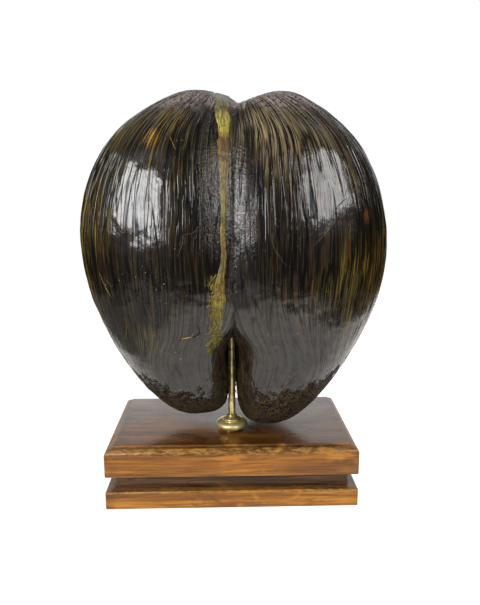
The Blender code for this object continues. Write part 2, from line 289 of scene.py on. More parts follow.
@dataclass(frozen=True)
class ShellFinish:
    """Dark varnished shell with olive, ochre and orange streaks that run from pole to pole."""

    name: str = "varnished_shell"
    ground: Colour = (0.0020, 0.0013, 0.0009)
    umber: Colour = (0.0180, 0.0110, 0.0050)
    olive: Colour = (0.075, 0.054, 0.0085)
    ochre: Colour = (0.190, 0.130, 0.008)
    taupe: Colour = (0.085, 0.062, 0.046)
    dust: Colour = (0.300, 0.270, 0.220)
    rust: Colour = (0.24, 0.070, 0.006)
    fibre: Colour = (0.088, 0.052, 0.019)
    roughness: float = 0.40
    rough_end: float = 0.70
    coat_roughness: float = 0.11
    patches: tuple[Patch, ...] = (
        Patch((-0.075, -0.055, 0.305), 0.048, 0.65),
        Patch((-0.115, -0.040, 0.245), 0.052, 0.95),
        Patch((-0.125, -0.030, 0.185), 0.050, 0.90),
        Patch((-0.035, -0.075, 0.300), 0.034, 0.45),
        Patch((0.034, -0.066, 0.315), 0.056, 0.60),
        Patch((0.070, -0.070, 0.290), 0.044, 0.50),
        Patch((0.104, -0.062, 0.195), 0.056, 0.85),
        Patch((0.060, -0.090, 0.190), 0.030, 0.35),
        Patch((0.118, -0.030, 0.240), 0.034, 0.80),
        Patch((0.030, 0.070, 0.300), 0.050, 0.80),
        Patch((-0.100, 0.050, 0.170), 0.050, 0.80),
        Patch((0.110, 0.045, 0.150), 0.040, 0.60),
    )
    stains: tuple[Stain, ...] = (
        Stain((0.026, -0.062, 0.321), 0.026, 0.85, (0.225, 0.180, 0.100)),
        # Painted glints: pale tan lines here stand for sparkles of light on the ridges.
        Stain((0.037, -0.074, 0.298), 0.024, 0.70, (0.180, 0.130, 0.085)),
        Stain((0.058, -0.062, 0.318), 0.036, 0.75, (0.155, 0.118, 0.062)),
        Stain((-0.0635, -0.0652, 0.3122), 0.012, 0.90, (0.330, 0.170, 0.016)),
        Stain((-0.0533, -0.0895, 0.1993), 0.003, 0.50, (0.200, 0.070, 0.010)),
        Stain((0.1080, -0.0660, 0.2520), 0.008, 0.60, (0.220, 0.080, 0.010)),
        Stain((-0.0160, -0.0880, 0.2030), 0.008, 0.95, (0.170, 0.132, 0.015)),
        Stain((-0.0150, -0.0860, 0.1860), 0.009, 0.95, (0.170, 0.132, 0.015)),
        Stain((-0.0130, -0.0830, 0.1680), 0.008, 0.90, (0.150, 0.130, 0.015)),
        Stain((0.0930, -0.0770, 0.2050), 0.026, 0.50, (0.110, 0.080, 0.018)),
        Stain((-0.0660, -0.0830, 0.1550), 0.018, 0.40, (0.120, 0.100, 0.045)),
        Stain((0.1200, -0.0450, 0.2050), 0.045, 0.55, (0.190, 0.105, 0.018)),
        Stain((-0.0302, -0.0859, 0.1594), 0.004, 0.90, (0.150, 0.150, 0.020)),
        Stain((-0.046, -0.0588, 0.3278), 0.018, 0.50, (0.200, 0.130, 0.020)),
    )
    # Painted sheen: the greyish-pink tone round the poles stands for light glancing off the top.
    pole: Colour = (0.240, 0.195, 0.175)

    def colour(self, bench: Bench, meridian: Input, position: Input, fibrous: Input) -> Input:
        """Return the shell's colour: streaks and bands between dark grooves, browner where it is fibrous.

        Args:
            bench: The tree's bench.
            meridian: The meridian of the point.
            position: The point.
            fibrous: Where the shell is bare fibre.

        Returns:
            The colour's socket.
        """
        band = bench.noise(streak_place(bench, meridian, 31.0, 2.8), 1.0, 2.0, 0.55)
        fine = bench.noise(streak_place(bench, meridian, 46.0, 6.0), 1.0, 3.0, 0.6)
        hair = bench.noise(streak_place(bench, meridian, 120.0, 14.0), 1.0, 2.0, 0.6)
        spot = bench.noise(streak_place(bench, meridian, 22.0, 9.0), 1.0, 1.0)
        speck = bench.noise(position, 640.0, 1.0)
        cloud = bench.noise(position, 26.0, 3.0, 0.6)
        tangle = bench.noise(position, 330.0, 3.0, 0.7, 1.6)
        tone = bench.plus(bench.times(fine, 0.55), bench.times(hair, 0.45))
        height = bench.axis(position, "Z")
        lined = bench.ramp(height, PLINTH_TOP + 0.080, PLINTH_TOP + 0.135, 0.10, 1.0)
        worn = bench.times(bench.most(*(patch.share(bench, position) for patch in self.patches)), lined)
        spread = bench.plus(bench.times(worn, 0.78), bench.times(lined, 0.11))
        greyer = bench.ramp(bench.noise(position, 14.0), 0.44, 0.58)
        layers = [
            (bench.ramp(tone, 0.44, 0.58), self.umber),
            (bench.times(bench.ramp(tone, 0.49, 0.55), bench.ramp(cloud, 0.30, 0.56), spread),
             bench.mix(greyer, self.olive, self.taupe)),
            (bench.times(bench.ramp(band, 0.49, 0.55), bench.ramp(tone, 0.45, 0.53), worn, 0.9), self.olive),
            (bench.times(bench.ramp(band, 0.57, 0.66), bench.ramp(hair, 0.42, 0.58), worn), self.ochre),
            (bench.times(bench.ramp(spot, 0.68, 0.76), worn), self.rust),
            (bench.times(bench.ramp(speck, 0.72, 0.78), bench.ramp(cloud, 0.48, 0.60), 0.8), self.dust),
        ]
        line = bench.ramp(tone, 0.46, 0.54)
        layers += [(bench.times(stain.share(bench, position), line), stain.colour) for stain in self.stains]
        brown = bench.mix(bench.ramp(tangle, 0.48, 0.60), self.ground, self.fibre)
        # Painted shade: fibre higher up inside the cleft is darkened towards black.
        cleft = bench.ramp(height, PLINTH_TOP + 0.045, PLINTH_TOP + 0.090, 0.0, 0.65)
        layers.append((fibrous, bench.mix(cleft, brown, self.ground)))
        return bench.layers(self.ground, layers)

    def material(self) -> bpy.types.Material:
        """Return the finish as a material."""
        material, bench, shader = new_material(self.name)
        meridian, position = bench.attribute("meridian", "Vector"), bench.position()
        aside, height = bench.axis(position, "X"), bench.axis(position, "Z")
        front = bench.ramp(bench.axis(position, "Y"), 0.0, -0.030)

        patchy = bench.times(bench.minus(bench.noise(position, 120.0, 3.0, 0.6), 0.5), 0.05)
        edge = bench.minus(height, bench.times(bench.away(aside), 0.33))
        low = bench.ramp(bench.plus(edge, patchy), PLINTH_TOP + 0.042, PLINTH_TOP + 0.034)
        inward = bench.plus(bench.axis(meridian, "X"), bench.times(patchy, 4.0))
        inside = bench.ramp(inward, -0.82, -0.92)
        inside = bench.times(inside, bench.ramp(height, PLINTH_TOP + 0.135, PLINTH_TOP + 0.105))
        fibrous = bench.most(low, inside)
        pole = bench.ramp(bench.plus(height, bench.times(patchy, 0.4)), 0.3340, 0.3440)
        flank = bench.ramp(bench.away(aside, -0.0035), 0.029, 0.016)
        flank = bench.times(flank, bench.ramp(height, 0.205, 0.235), front, 0.6)
        granular = bench.most(flank, bench.attribute("valley"), bench.times(pole, 0.9))
        # Painted shade: a crease beside the seam, drawn dark in colour and coat instead of carved.
        channel_shade = bench.ramp(bench.away(aside, 0.0150), 0.0056, 0.0026)
        channel_shade = bench.times(channel_shade, bench.ramp(height, 0.262, 0.276), bench.ramp(height, 0.326, 0.316))
        channel_shade = bench.times(channel_shade, front)
        grooved = bench.ramp(height, PLINTH_TOP + 0.090, PLINTH_TOP + 0.165)
        ridge = crease(bench, streak_place(bench, meridian, 15.0, 4.0), 0.25)
        fine = crease(bench, streak_place(bench, meridian, 34.0, 9.0), 0.15)
        pebbles = bench.noise(position, 480.0, 3.0, 0.7)

        # Painted sheen: a speckled greyish-pink is mixed into the colour round the poles.
        pole_sheen_speckle = bench.ramp(bench.noise(position, 420.0, 3.0, 0.7), 0.34, 0.56)
        colour = self.colour(bench, meridian, position, fibrous)
        colour = bench.mix(bench.times(pole, pole_sheen_speckle, 0.85), colour, self.pole)
        # Base colour darkened along the ridge and fine creases, for dirt and painted shade in the grooves,
        # and in the painted-shade channel.
        deep = bench.times(
            bench.ramp(ridge, 0.0, 0.055, bench.fade(grooved, 0.75, 0.08)),
            bench.ramp(fine, 0.0, 0.05, bench.fade(grooved, 0.85, 0.30)),
            bench.fade(channel_shade, 1.0, 0.30),
        )
        lines = bench.plus(
            bench.times(bench.ramp(ridge, 0.0, 0.05), 0.26),
            bench.times(bench.ramp(fine, 0.0, 0.05), 0.08),
        )
        texture = bench.plus(
            bench.times(lines, bench.fade(bench.attribute("calm"), 0.9, 0.45)),
            bench.times(bench.noise(position, 750.0, 2.0, 0.6), 0.03),
            bench.times(bench.noise(position, 110.0), 0.28),
            bench.times(bench.noise(position, 36.0), 0.80),
            bench.times(bench.noise(position, 330.0, 4.0, 0.7, 0.8), fibrous, 2.2),
            bench.times(pebbles, granular, 0.9),
        )
        glossy = bench.times(
            bench.ramp(ridge, 0.004, 0.036, bench.fade(grooved, 0.75, 0.08)),
            bench.ramp(fine, 0.0, 0.032, bench.fade(grooved, 0.90, 0.40)),
            bench.ramp(pebbles, 0.42, 0.58, bench.fade(granular, 1.0, 0.10)),
            bench.fade(channel_shade, 1.0, 0.20),
            bench.fade(pole, 1.0, 0.45),
            bench.ramp(bench.noise(position, 140.0, 4.0, 0.7), 0.30, 0.62, 0.72),
            bench.fade(fibrous, 1.0, 0.05),
        )
        tilted = bench.bump(texture, 0.001)
        bench.feed(shader, {
            "Base Color": bench.mix(1.0, colour, bench.mix(deep, BLACK, WHITE), "MULTIPLY"),
            "Normal": tilted,
            "Coat Normal": tilted,
            "Roughness": bench.fade(fibrous, self.roughness, self.rough_end),
            "Coat Weight": glossy,
            "Specular IOR Level": 0.12,
            "Coat Roughness": self.coat_roughness,
            "Coat IOR": 1.6,
        })
        return material


@dataclass(frozen=True)
class SeamFinish:
    """Fibrous seam: yellow-green at the top, ochre and brown below, ragged yellow above the cleft."""

    name: str = "seam_fibre"
    roughness: float = 0.5
    low: float = 0.160
    high: float = 0.350
    spots: tuple[Stain, ...] = (
        Stain((-0.0013, -0.0465, 0.3346), 0.0050, 1.0, (0.110, 0.022, 0.010)),
        Stain((-0.0023, -0.0589, 0.3162), 0.0018, 1.0, (0.006, 0.004, 0.002)),
    )
    tones: tuple[tuple[float, Colour], ...] = (
        (0.02, (0.150, 0.125, 0.012)),
        (0.14, (0.230, 0.185, 0.018)),
        (0.24, (0.190, 0.140, 0.020)),
        (0.34, (0.180, 0.125, 0.028)),
        (0.47, (0.260, 0.190, 0.030)),
        (0.50, (0.220, 0.220, 0.030)),
        (0.55, (0.180, 0.140, 0.018)),
        (0.69, (0.175, 0.115, 0.016)),
        (0.80, (0.125, 0.072, 0.012)),
        (0.84, (0.330, 0.285, 0.042)),
        (0.88, (0.330, 0.295, 0.060)),
        (0.92, (0.150, 0.130, 0.050)),
        (0.96, (0.120, 0.118, 0.060)),
    )

    def material(self) -> bpy.types.Material:
        """Return the finish as a material."""
        material, bench, shader = new_material(self.name)
        meridian, position = bench.attribute("meridian", "Vector"), bench.position()
        level = bench.math("DIVIDE", bench.minus(bench.axis(position, "Z"), self.low), self.high - self.low)
        level = bench.plus(level, bench.times(bench.minus(bench.noise(position, 90.0), 0.5), 0.06))
        lines = bench.noise(streak_place(bench, meridian, 5.0, 60.0), 1.0, 3.0, 0.65)
        speckle = bench.ramp(bench.noise(position, 240.0), 0.61, 0.68)
        mottle = bench.ramp(bench.noise(position, 170.0, 3.0, 0.6, 0.8), 0.50, 0.62)
        layers = [
            (bench.times(bench.ramp(lines, 0.56, 0.36), 0.85), (0.045, 0.022, 0.008)),
            (bench.times(speckle, 0.7), (0.12, 0.018, 0.008)),
            (bench.times(mottle, 0.62), (0.034, 0.022, 0.009)),
        ]
        layers += [(spot.share(bench, position), spot.colour) for spot in self.spots]
        across = bench.away(bench.axis(meridian, "X"))
        layers.append((bench.ramp(across, 0.80, 1.00, 0.0, 0.8), (0.012, 0.007, 0.003)))
        rough = bench.noise(position, 700.0, 4.0, 0.7)
        bench.feed(shader, {
            "Base Color": bench.layers(bench.colours(level, self.tones), layers),
            "Normal": bench.bump(bench.plus(rough, lines), 0.0006),
            "Roughness": self.roughness,
            "Specular IOR Level": 0.3,
            "Coat Weight": 0.35,
            "Coat Roughness": 0.16,
        })
        return material


@dataclass(frozen=True)
class FibreFinish:
    """Loose dry fibre, each strand of its own tone."""

    name: str
    dark: Colour
    light: Colour
    roughness: float = 0.5
    coat: float = 0.15

    def material(self) -> bpy.types.Material:
        """Return the finish as a material."""
        material, bench, shader = new_material(self.name)
        mottle = bench.noise(bench.position(), 300.0)
        share = bench.plus(bench.attribute("tone"), bench.times(bench.minus(mottle, 0.5), 0.6))
        bench.feed(shader, {
            "Base Color": bench.mix(share, self.dark, self.light),
            "Normal": bench.bump(mottle, 0.0002),
            "Roughness": self.roughness,
            "Specular IOR Level": 0.2,
            "Coat Weight": self.coat,
            "Coat Roughness": 0.2,
        })
        return material


@dataclass(frozen=True)
class BrassFinish:
    """Polished, slightly greenish brass with fine turning marks."""

    name: str = "polished_brass"
    light: Colour = (0.98, 0.83, 0.38)
    dark: Colour = (0.50, 0.38, 0.12)
    roughness: float = 0.31
    metallic: float = 0.66

    def material(self) -> bpy.types.Material:
        """Return the finish as a material."""
        material, bench, shader = new_material(self.name)
        position = bench.position()
        marks = bench.stretched(position, (60.0, 60.0, 2600.0), 2.0, 0.6)
        tarnish = bench.ramp(bench.noise(position, 160.0, 3.0, 0.6), 0.40, 0.75)
        bench.feed(shader, {
            "Base Color": bench.mix(tarnish, self.light, self.dark),
            "Normal": bench.bump(marks, 0.00003),
            "Roughness": bench.fade(tarnish, self.roughness, self.roughness + 0.14),
            "Metallic": self.metallic,
        })
        return material


@dataclass(frozen=True)
class WoodFinish:
    """Varnished hardwood with its grain along the board, mottled, with wear and a painted highlight along
    its edges.
    """

    name: str
    light: Colour
    middle: Colour
    dark: Colour
    # The light band's tone, for wear and a painted highlight.
    worn: Colour
    wear_and_highlight_height: float
    wear_and_highlight_reach: float
    seed: float
    roughness: float = 0.30
    coat: float = 0.40
    coat_up: float = 0.70
    coat_roughness: float = 0.19

    def material(self) -> bpy.types.Material:
        """Return the finish as a material."""
        material, bench, shader = new_material(self.name)
        position = bench.position()
        place = bench.vector("ADD", position, (self.seed, 0.37 * self.seed, 0.11 * self.seed))
        figure = bench.stretched(place, (7.0, 60.0, 110.0), 4.0, 0.6, 0.5)
        grain = bench.stretched(place, (26.0, 620.0, 900.0), 3.0, 0.6)
        pores = bench.stretched(place, (110.0, 2400.0, 2400.0), 1.0)
        mottle = bench.stretched(place, (26.0, 40.0, 60.0), 3.0, 0.55, 0.6)
        wear_and_highlight_noise = bench.stretched(place, (150.0, 260.0, 620.0), 4.0, 0.7)
        dents = bench.noise(place, 260.0)
        side = bench.away(bench.axis(position, "X"))
        # Wear and painted highlight: a lighter band at the moulding's height.
        band = bench.away(bench.axis(position, "Z"), self.wear_and_highlight_height)
        band = bench.ramp(band, self.wear_and_highlight_reach, SOFT_EDGE * self.wear_and_highlight_reach)
        colour = bench.colours(figure, ((0.34, self.dark), (0.50, self.middle), (0.66, self.light)))
        colour = bench.layers(colour, (
            (bench.times(bench.ramp(grain, 0.60, 0.42), 0.45), self.dark),
            (bench.times(bench.ramp(mottle, 0.58, 0.72), 0.55), self.light),
            (bench.times(bench.ramp(mottle, 0.42, 0.31), 0.75), self.dark),
            (bench.times(band, bench.ramp(wear_and_highlight_noise, 0.42, 0.62), 0.50), self.worn),
            (bench.ramp(side, 0.094, 0.110, 0.0, bench.ramp(mottle, 0.62, 0.40, 0.2, 0.65)), self.dark),
        ))
        facing = bench.add("ShaderNodeNewGeometry").outputs["Normal"]
        # Painted shade: faces that look up are darkened to a cool grey tone.
        shaded_top = bench.ramp(bench.axis(facing, "Z"), 0.90, 0.99)
        texture = bench.plus(bench.times(grain, 0.5), bench.times(pores, 0.25), bench.times(dents, 0.8))
        bench.feed(shader, {
            "Base Color": bench.mix(1.0, colour, bench.mix(shaded_top, WHITE, (0.42, 0.42, 0.46)), "MULTIPLY"),
            "Normal": bench.bump(texture, 0.00016),
            "Coat Normal": bench.bump(dents, 0.00012),
            "Roughness": bench.ramp(mottle, 0.3, 0.7, self.roughness - 0.06, self.roughness + 0.12),
            "Specular IOR Level": 0.12,
            "Coat Weight": bench.fade(shaded_top, self.coat, self.coat_up),
            "Coat Roughness": self.coat_roughness,
        })
        return material


# Meshes

def mesh_from(name: str, vertices: Sequence, faces: Sequence, smooth: bool = True) -> bpy.types.Mesh:
    """Return a mesh with its faces pointing out.

    Args:
        name: The mesh's name.
        vertices: Its points.
        faces: Its faces, as indices of points.
        smooth: Whether it is shaded smooth.

    Returns:
        The mesh.
    """
    mesh = bpy.data.meshes.new(name)
    mesh.from_pydata([tuple(point) for point in vertices], [], faces)
    build = bmesh.new()
    build.from_mesh(mesh)
    bmesh.ops.recalc_face_normals(build, faces=build.faces)
    build.to_mesh(mesh)
    build.free()
    if smooth:
        mesh.shade_smooth()
    return mesh


def new_object(name: str, mesh: bpy.types.Mesh) -> bpy.types.Object:
    """Put a mesh in the scene."""
    obj = bpy.data.objects.new(name, mesh)
    bpy.context.scene.collection.objects.link(obj)
    return obj


def applied(obj: bpy.types.Object) -> bpy.types.Object:
    """Make an object's modifiers part of its mesh.

    Args:
        obj: The object.

    Returns:
        The same object.
    """
    depsgraph = bpy.context.evaluated_depsgraph_get()
    evaluated = obj.evaluated_get(depsgraph)
    mesh = bpy.data.meshes.new_from_object(evaluated, preserve_all_data_layers=True, depsgraph=depsgraph)
    mesh.name = obj.name
    obj.modifiers.clear()
    obj.data = mesh
    return obj


def combine(body: bpy.types.Object, tool: bpy.types.Object, operation: str, solver: str) -> bpy.types.Object:
    """Join a body with a tool, or cut it by one.

    Args:
        body: The object that is kept.
        tool: The object that is used up.
        operation: UNION or DIFFERENCE.
        solver: The Boolean's solver.

    Returns:
        The body.
    """
    modifier = body.modifiers.new(operation.title(), "BOOLEAN")
    modifier.operation = operation
    modifier.object = tool
    modifier.solver = solver
    applied(body)
    bpy.data.objects.remove(tool, do_unlink=True)
    return body


def bored(body: bpy.types.Object, bottom: float, top: float, solver: str) -> bpy.types.Object:
    """Drill a body round the rod's axis, with the rod's room.

    Args:
        body: The object.
        bottom: Where the hole starts.
        top: Where it ends.
        solver: The Boolean's solver.

    Returns:
        The object.
    """
    radius, middle = ROD_RADIUS + ROD_ROOM, Matrix.Translation((ROD_X, ROD_Y, 0.5 * (bottom + top)))
    build = bmesh.new()
    bmesh.ops.create_cone(build, cap_ends=True, segments=DRILL_SIDES, radius1=radius, radius2=radius,
                          depth=top - bottom, matrix=middle)
    mesh = bpy.data.meshes.new("drill")
    build.to_mesh(mesh)
    build.free()
    return combine(body, new_object("drill", mesh), "DIFFERENCE", solver)


def coordinates(mesh: bpy.types.Mesh) -> np.ndarray:
    """Return a mesh's points as rows of an array."""
    flat = np.empty(len(mesh.vertices) * 3, np.float32)
    mesh.vertices.foreach_get("co", flat)
    return flat.reshape(-1, 3).astype(float)


def store(mesh: bpy.types.Mesh, name: str, values: np.ndarray, kind: str = "POINT") -> None:
    """Store an attribute on a mesh.

    Args:
        mesh: The mesh.
        name: The attribute's name.
        values: A number or a vector for each point or corner.
        kind: What the values belong to.
    """
    vectors = values.ndim > 1
    attribute = mesh.attributes.new(name, "FLOAT_VECTOR" if vectors else "FLOAT", kind)
    attribute.data.foreach_set("vector" if vectors else "value", values.astype(np.float32).ravel())


def point_tree(points: np.ndarray) -> KDTree:
    """Return a tree that finds the nearest of some points."""
    tree = KDTree(len(points))
    for index, point in enumerate(points):
        tree.insert(point, index)
    tree.balance()
    return tree


def ring_faces(rings: int, sides: int, wrap: bool = False) -> Faces:
    """Return the faces between rings of points, which are counted ring by ring.

    Args:
        rings: How many rings there are.
        sides: Points in a ring.
        wrap: Whether the last ring is joined to the first. If not, each end is a face.

    Returns:
        The faces.
    """
    faces: Faces = []
    for row in range(rings if wrap else rings - 1):
        here, there = row * sides, (row + 1) % rings * sides
        for index in range(sides):
            side = (index + 1) % sides
            faces.append((here + index, here + side, there + side, there + index))
    if not wrap:
        faces += [tuple(range(sides)), tuple(range((rings - 1) * sides, rings * sides))]
    return faces


def pole_faces(rows: int, columns: int) -> Faces:
    """Return the faces of rings of points that end in a point at each pole.

    Args:
        rows: Rings of points.
        columns: Points in a ring.

    Returns:
        The faces, with point 0 above the first ring and the last point below the last ring.
    """
    faces: Faces = []
    last = 1 + (rows - 1) * columns
    for column in range(columns):
        side = (column + 1) % columns
        faces.append((0, 1 + column, 1 + side))
        faces.append((last + column, last + columns, last + side))
    for row in range(rows - 1):
        start = 1 + row * columns
        for column in range(columns):
            side = (column + 1) % columns
            faces.append((start + column, start + columns + column, start + columns + side, start + side))
    return faces


def spline(values: Sequence[float], places: np.ndarray) -> np.ndarray:
    """Return a smooth curve through values, read at places counted in steps along them.

    Args:
        values: The values that it passes through.
        places: Where it is read.

    Returns:
        Its value at each place.
    """
    knots = np.asarray(values, float)
    index = np.clip(places.astype(int), 0, len(knots) - 2)
    share = places - index
    before = knots[np.maximum(index - 1, 0)]
    after = knots[np.minimum(index + 2, len(knots) - 1)]
    here, there = knots[index], knots[index + 1]
    square, cube = share ** 2, share ** 3
    rise_here, rise_there = 0.5 * (there - before), 0.5 * (after - here)
    return ((2.0 * cube - 3.0 * square + 1.0) * here + (cube - 2.0 * square + share) * rise_here
            + (3.0 * square - 2.0 * cube) * there + (cube - square) * rise_there)


# Geometry node groups

def geometry_tree(name: str, inputs: dict[str, str]) -> tuple[bpy.types.NodeTree, Bench, dict[str, Input]]:
    """Start a geometry node tree.

    Args:
        name: The tree's name.
        inputs: Its inputs after the geometry, each with the last part of its socket's type.

    Returns:
        The tree, a bench on it, and its inputs by name.
    """
    tree = bpy.data.node_groups.new(name, "GeometryNodeTree")
    tree.interface.new_socket("Geometry", in_out="INPUT", socket_type="NodeSocketGeometry")
    for label, kind in inputs.items():
        tree.interface.new_socket(label, in_out="INPUT", socket_type=f"NodeSocket{kind}")
    tree.interface.new_socket("Geometry", in_out="OUTPUT", socket_type="NodeSocketGeometry")
    bench = Bench(tree)
    source = bench.add("NodeGroupInput")
    return tree, bench, {socket.name: socket for socket in source.outputs if socket.name}


def finish_tree(bench: Bench, geometry: Input, material: Input) -> None:
    """End a geometry tree in Realize Instances and Set Material.

    Args:
        bench: The tree's bench.
        geometry: What was made.
        material: The input that names its material.
    """
    real = bench.add("GeometryNodeRealizeInstances", {"Geometry": geometry}).outputs[0]
    dressed = bench.add("GeometryNodeSetMaterial", {"Geometry": real, "Material": material}).outputs[0]
    bench.add("NodeGroupOutput", {"Geometry": dressed})


def run_tree(obj: bpy.types.Object, tree: bpy.types.NodeTree, values: dict[str, Any]) -> bpy.types.Object:
    """Run a geometry tree on an object and keep the result as its mesh.

    Args:
        obj: The object.
        tree: The tree.
        values: The tree's inputs by name.

    Returns:
        The object.
    """
    modifier = obj.modifiers.new(tree.name, "NODES")
    modifier.node_group = tree
    sockets = {item.name: item.identifier for item in tree.interface.items_tree if item.in_out == "INPUT"}
    for label, value in values.items():
        modifier[sockets[label]] = value
    return applied(obj)


def relief_tree() -> bpy.types.NodeTree:
    """Return the tree that raises ridges along the meridians of a piece.

    The piece has a point or corner attribute, meridian, and a point attribute, calm, that is 1 where the
    ridges stay low.
    """
    lengths = ("Ridge Depth", "Ridge Pace", "Fine Depth", "Fine Pace", "Lump Depth", "Swell")
    inputs = {**dict.fromkeys(lengths, "Float"), "Material": "Material"}
    tree, bench, given = geometry_tree("grown_relief", inputs)
    named = "GeometryNodeInputNamedAttribute"
    meridian = bench.add(named, {"Name": "meridian"}, data_type="FLOAT_VECTOR").outputs[0]
    calm = bench.add(named, {"Name": "calm"}, data_type="FLOAT").outputs[0]
    position = bench.add("GeometryNodeInputPosition").outputs[0]
    normal = bench.add("GeometryNodeInputNormal").outputs[0]
    height = bench.axis(position, "Z")
    ridges = crease(bench, streak_place(bench, meridian, given["Ridge Pace"], 4.0), 0.25)
    fine = crease(bench, streak_place(bench, meridian, given["Fine Pace"], 9.0), 0.15)
    coarse = bench.times(bench.minus(bench.ramp(ridges, 0.0, 0.20), 0.5), given["Ridge Depth"])
    small = bench.times(bench.minus(bench.ramp(fine, 0.0, 0.20), 0.7), given["Fine Depth"])
    lump = bench.times(bench.minus(bench.noise(position, 60.0), 0.5), given["Lump Depth"])
    body = bench.ramp(height, PLINTH_TOP + 0.03, PLINTH_TOP + 0.08)
    body = bench.times(body, bench.ramp(height, 0.33, 0.30))
    rise = bench.times(bench.plus(coarse, small), bench.fade(calm, 1.0, 0.12))
    rise = bench.plus(rise, lump, bench.times(body, given["Swell"]))
    offset = bench.add("ShaderNodeVectorMath", {0: normal, "Scale": rise}, operation="SCALE").outputs[0]
    inputs = {"Geometry": given["Geometry"], "Offset": offset}
    moved = bench.add("GeometryNodeSetPosition", inputs).outputs[0]
    finish_tree(bench, moved, given["Material"])
    return tree


def fibre_tree() -> bpy.types.NodeTree:
    """Return the tree that turns chains of edges into tapered strands."""
    inputs = {"Thickness": "Float", "Sides": "Int", "Material": "Material"}
    tree, bench, given = geometry_tree("strands", inputs)
    curve = bench.add("GeometryNodeMeshToCurve", {"Mesh": given["Geometry"]}).outputs[0]
    along = bench.add("GeometryNodeSplineParameter").outputs["Factor"]
    bulge = bench.math("SQRT", bench.times(along, bench.minus(1.0, along)))
    radius = bench.plus(bench.times(bulge, 1.7), 0.12)
    thin = bench.add("GeometryNodeSetCurveRadius", {"Curve": curve, "Radius": radius}).outputs[0]
    ring = bench.add("GeometryNodeCurvePrimitiveCircle", {"Resolution": given["Sides"],
                                                          "Radius": given["Thickness"]})
    solid = bench.add("GeometryNodeCurveToMesh", {"Curve": thin, "Profile Curve": ring.outputs["Curve"]})
    solid.inputs["Fill Caps"].default_value = True
    if "Scale" in solid.inputs:
        bench.tree.links.new(radius, solid.inputs["Scale"])
    smooth = bench.add("GeometryNodeSetShadeSmooth", {"Geometry": solid.outputs[0]}).outputs[0]
    finish_tree(bench, smooth, given["Material"])
    return tree


# Nut

@dataclass(frozen=True)
class Station:
    """One slanted section of a lobe, as in the solid: two ends in the middle plane, and a half thickness.

    Heights are above the plinth's top. waist is the thickest place, as a share of the way from the outer
    end to the inner one. fullness is how square the inner half is: 2 is an ellipse.
    """

    outer_x: float
    outer_z: float
    inner_x: float
    inner_z: float
    half_thickness: float
    waist: float
    fullness: float


@dataclass(frozen=True)
class Lobe:
    """One lobe of the nut, from its top pole to its foot."""

    name: str
    stations: tuple[Station, ...]
    middle_y: float = -0.006
    outer_fullness: float = 2.15

    def loop(self, ahead: str, back: str, places: np.ndarray) -> np.ndarray:
        """Return one outline value, with the outer and inner ends read as one closed loop.

        Args:
            ahead: The field that is read.
            back: The field that it runs on into past the poles.
            places: Where it is read, in stations.

        Returns:
            Its value at each place.
        """
        values = [getattr(station, ahead) for station in self.stations]
        sign = -1.0 if ahead == "half_thickness" else 1.0
        before = sign * getattr(self.stations[1], back)
        after = sign * getattr(self.stations[-2], back)
        return spline([before] + values + [after], places + 1.0)

    def surface(self, places: np.ndarray, angles: np.ndarray) -> np.ndarray:
        """Return points of the smooth lobe.

        Args:
            places: Where the sections are, in stations.
            angles: Angles round a section, from its outer end to the front.

        Returns:
            The points, by place and angle.
        """
        outer, inner = (
            np.stack([self.loop(f"{end}_{axis}", f"{other}_{axis}", places) for axis in "xz"], axis=-1)
            for end, other in (("outer", "inner"), ("inner", "outer"))
        )
        half = self.loop("half_thickness", "half_thickness", places)[:, None]
        waist = spline([station.waist for station in self.stations], places)[:, None]
        fullness = spline([station.fullness for station in self.stations], places)[:, None]
        centre = outer + (inner - outer) * waist
        across, depth = np.cos(angles)[None, :], np.sin(angles)[None, :]
        power = np.where(across >= 0.0, 2.0 / self.outer_fullness, 2.0 / fullness)
        reach = np.abs(across) ** power
        outward = (across >= 0.0)[..., None]
        ends = np.where(outward, (outer - centre)[:, None, :], (inner - centre)[:, None, :])
        flat = centre[:, None, :] + ends * reach[..., None]
        away = np.sign(depth) * np.abs(depth) ** power * half
        return np.stack([flat[..., 0], self.middle_y - away, PLINTH_TOP + flat[..., 1]], axis=-1)


LEFT_LOBE = Lobe("left_lobe", (
    Station(-0.0130, 0.2980, -0.0130, 0.2980, 0.000, 0.45, 2.15),
    Station(-0.0465, 0.2966, 0.0170, 0.2820, 0.036, 0.44, 2.15),
    Station(-0.0898, 0.2720, 0.0340, 0.2560, 0.058, 0.46, 2.15),
    Station(-0.1150, 0.2380, 0.0410, 0.2280, 0.073, 0.50, 2.15),
    Station(-0.1275, 0.2010, 0.0440, 0.1960, 0.082, 0.53, 2.15),
    Station(-0.1290, 0.1650, 0.0440, 0.1660, 0.085, 0.53, 2.15),
    Station(-0.1230, 0.1290, 0.0400, 0.1390, 0.084, 0.53, 2.20),
    Station(-0.1110, 0.0980, 0.0250, 0.1150, 0.081, 0.52, 2.60),
    Station(-0.0950, 0.0700, -0.0033, 0.0890, 0.075, 0.50, 3.50),
    Station(-0.0765, 0.0435, -0.0033, 0.0530, 0.064, 0.50, 3.50),
    Station(-0.0525, 0.0238, -0.0048, 0.0275, 0.044, 0.50, 3.00),
    Station(-0.0225, 0.0190, -0.0225, 0.0190, 0.000, 0.50, 2.30),
))
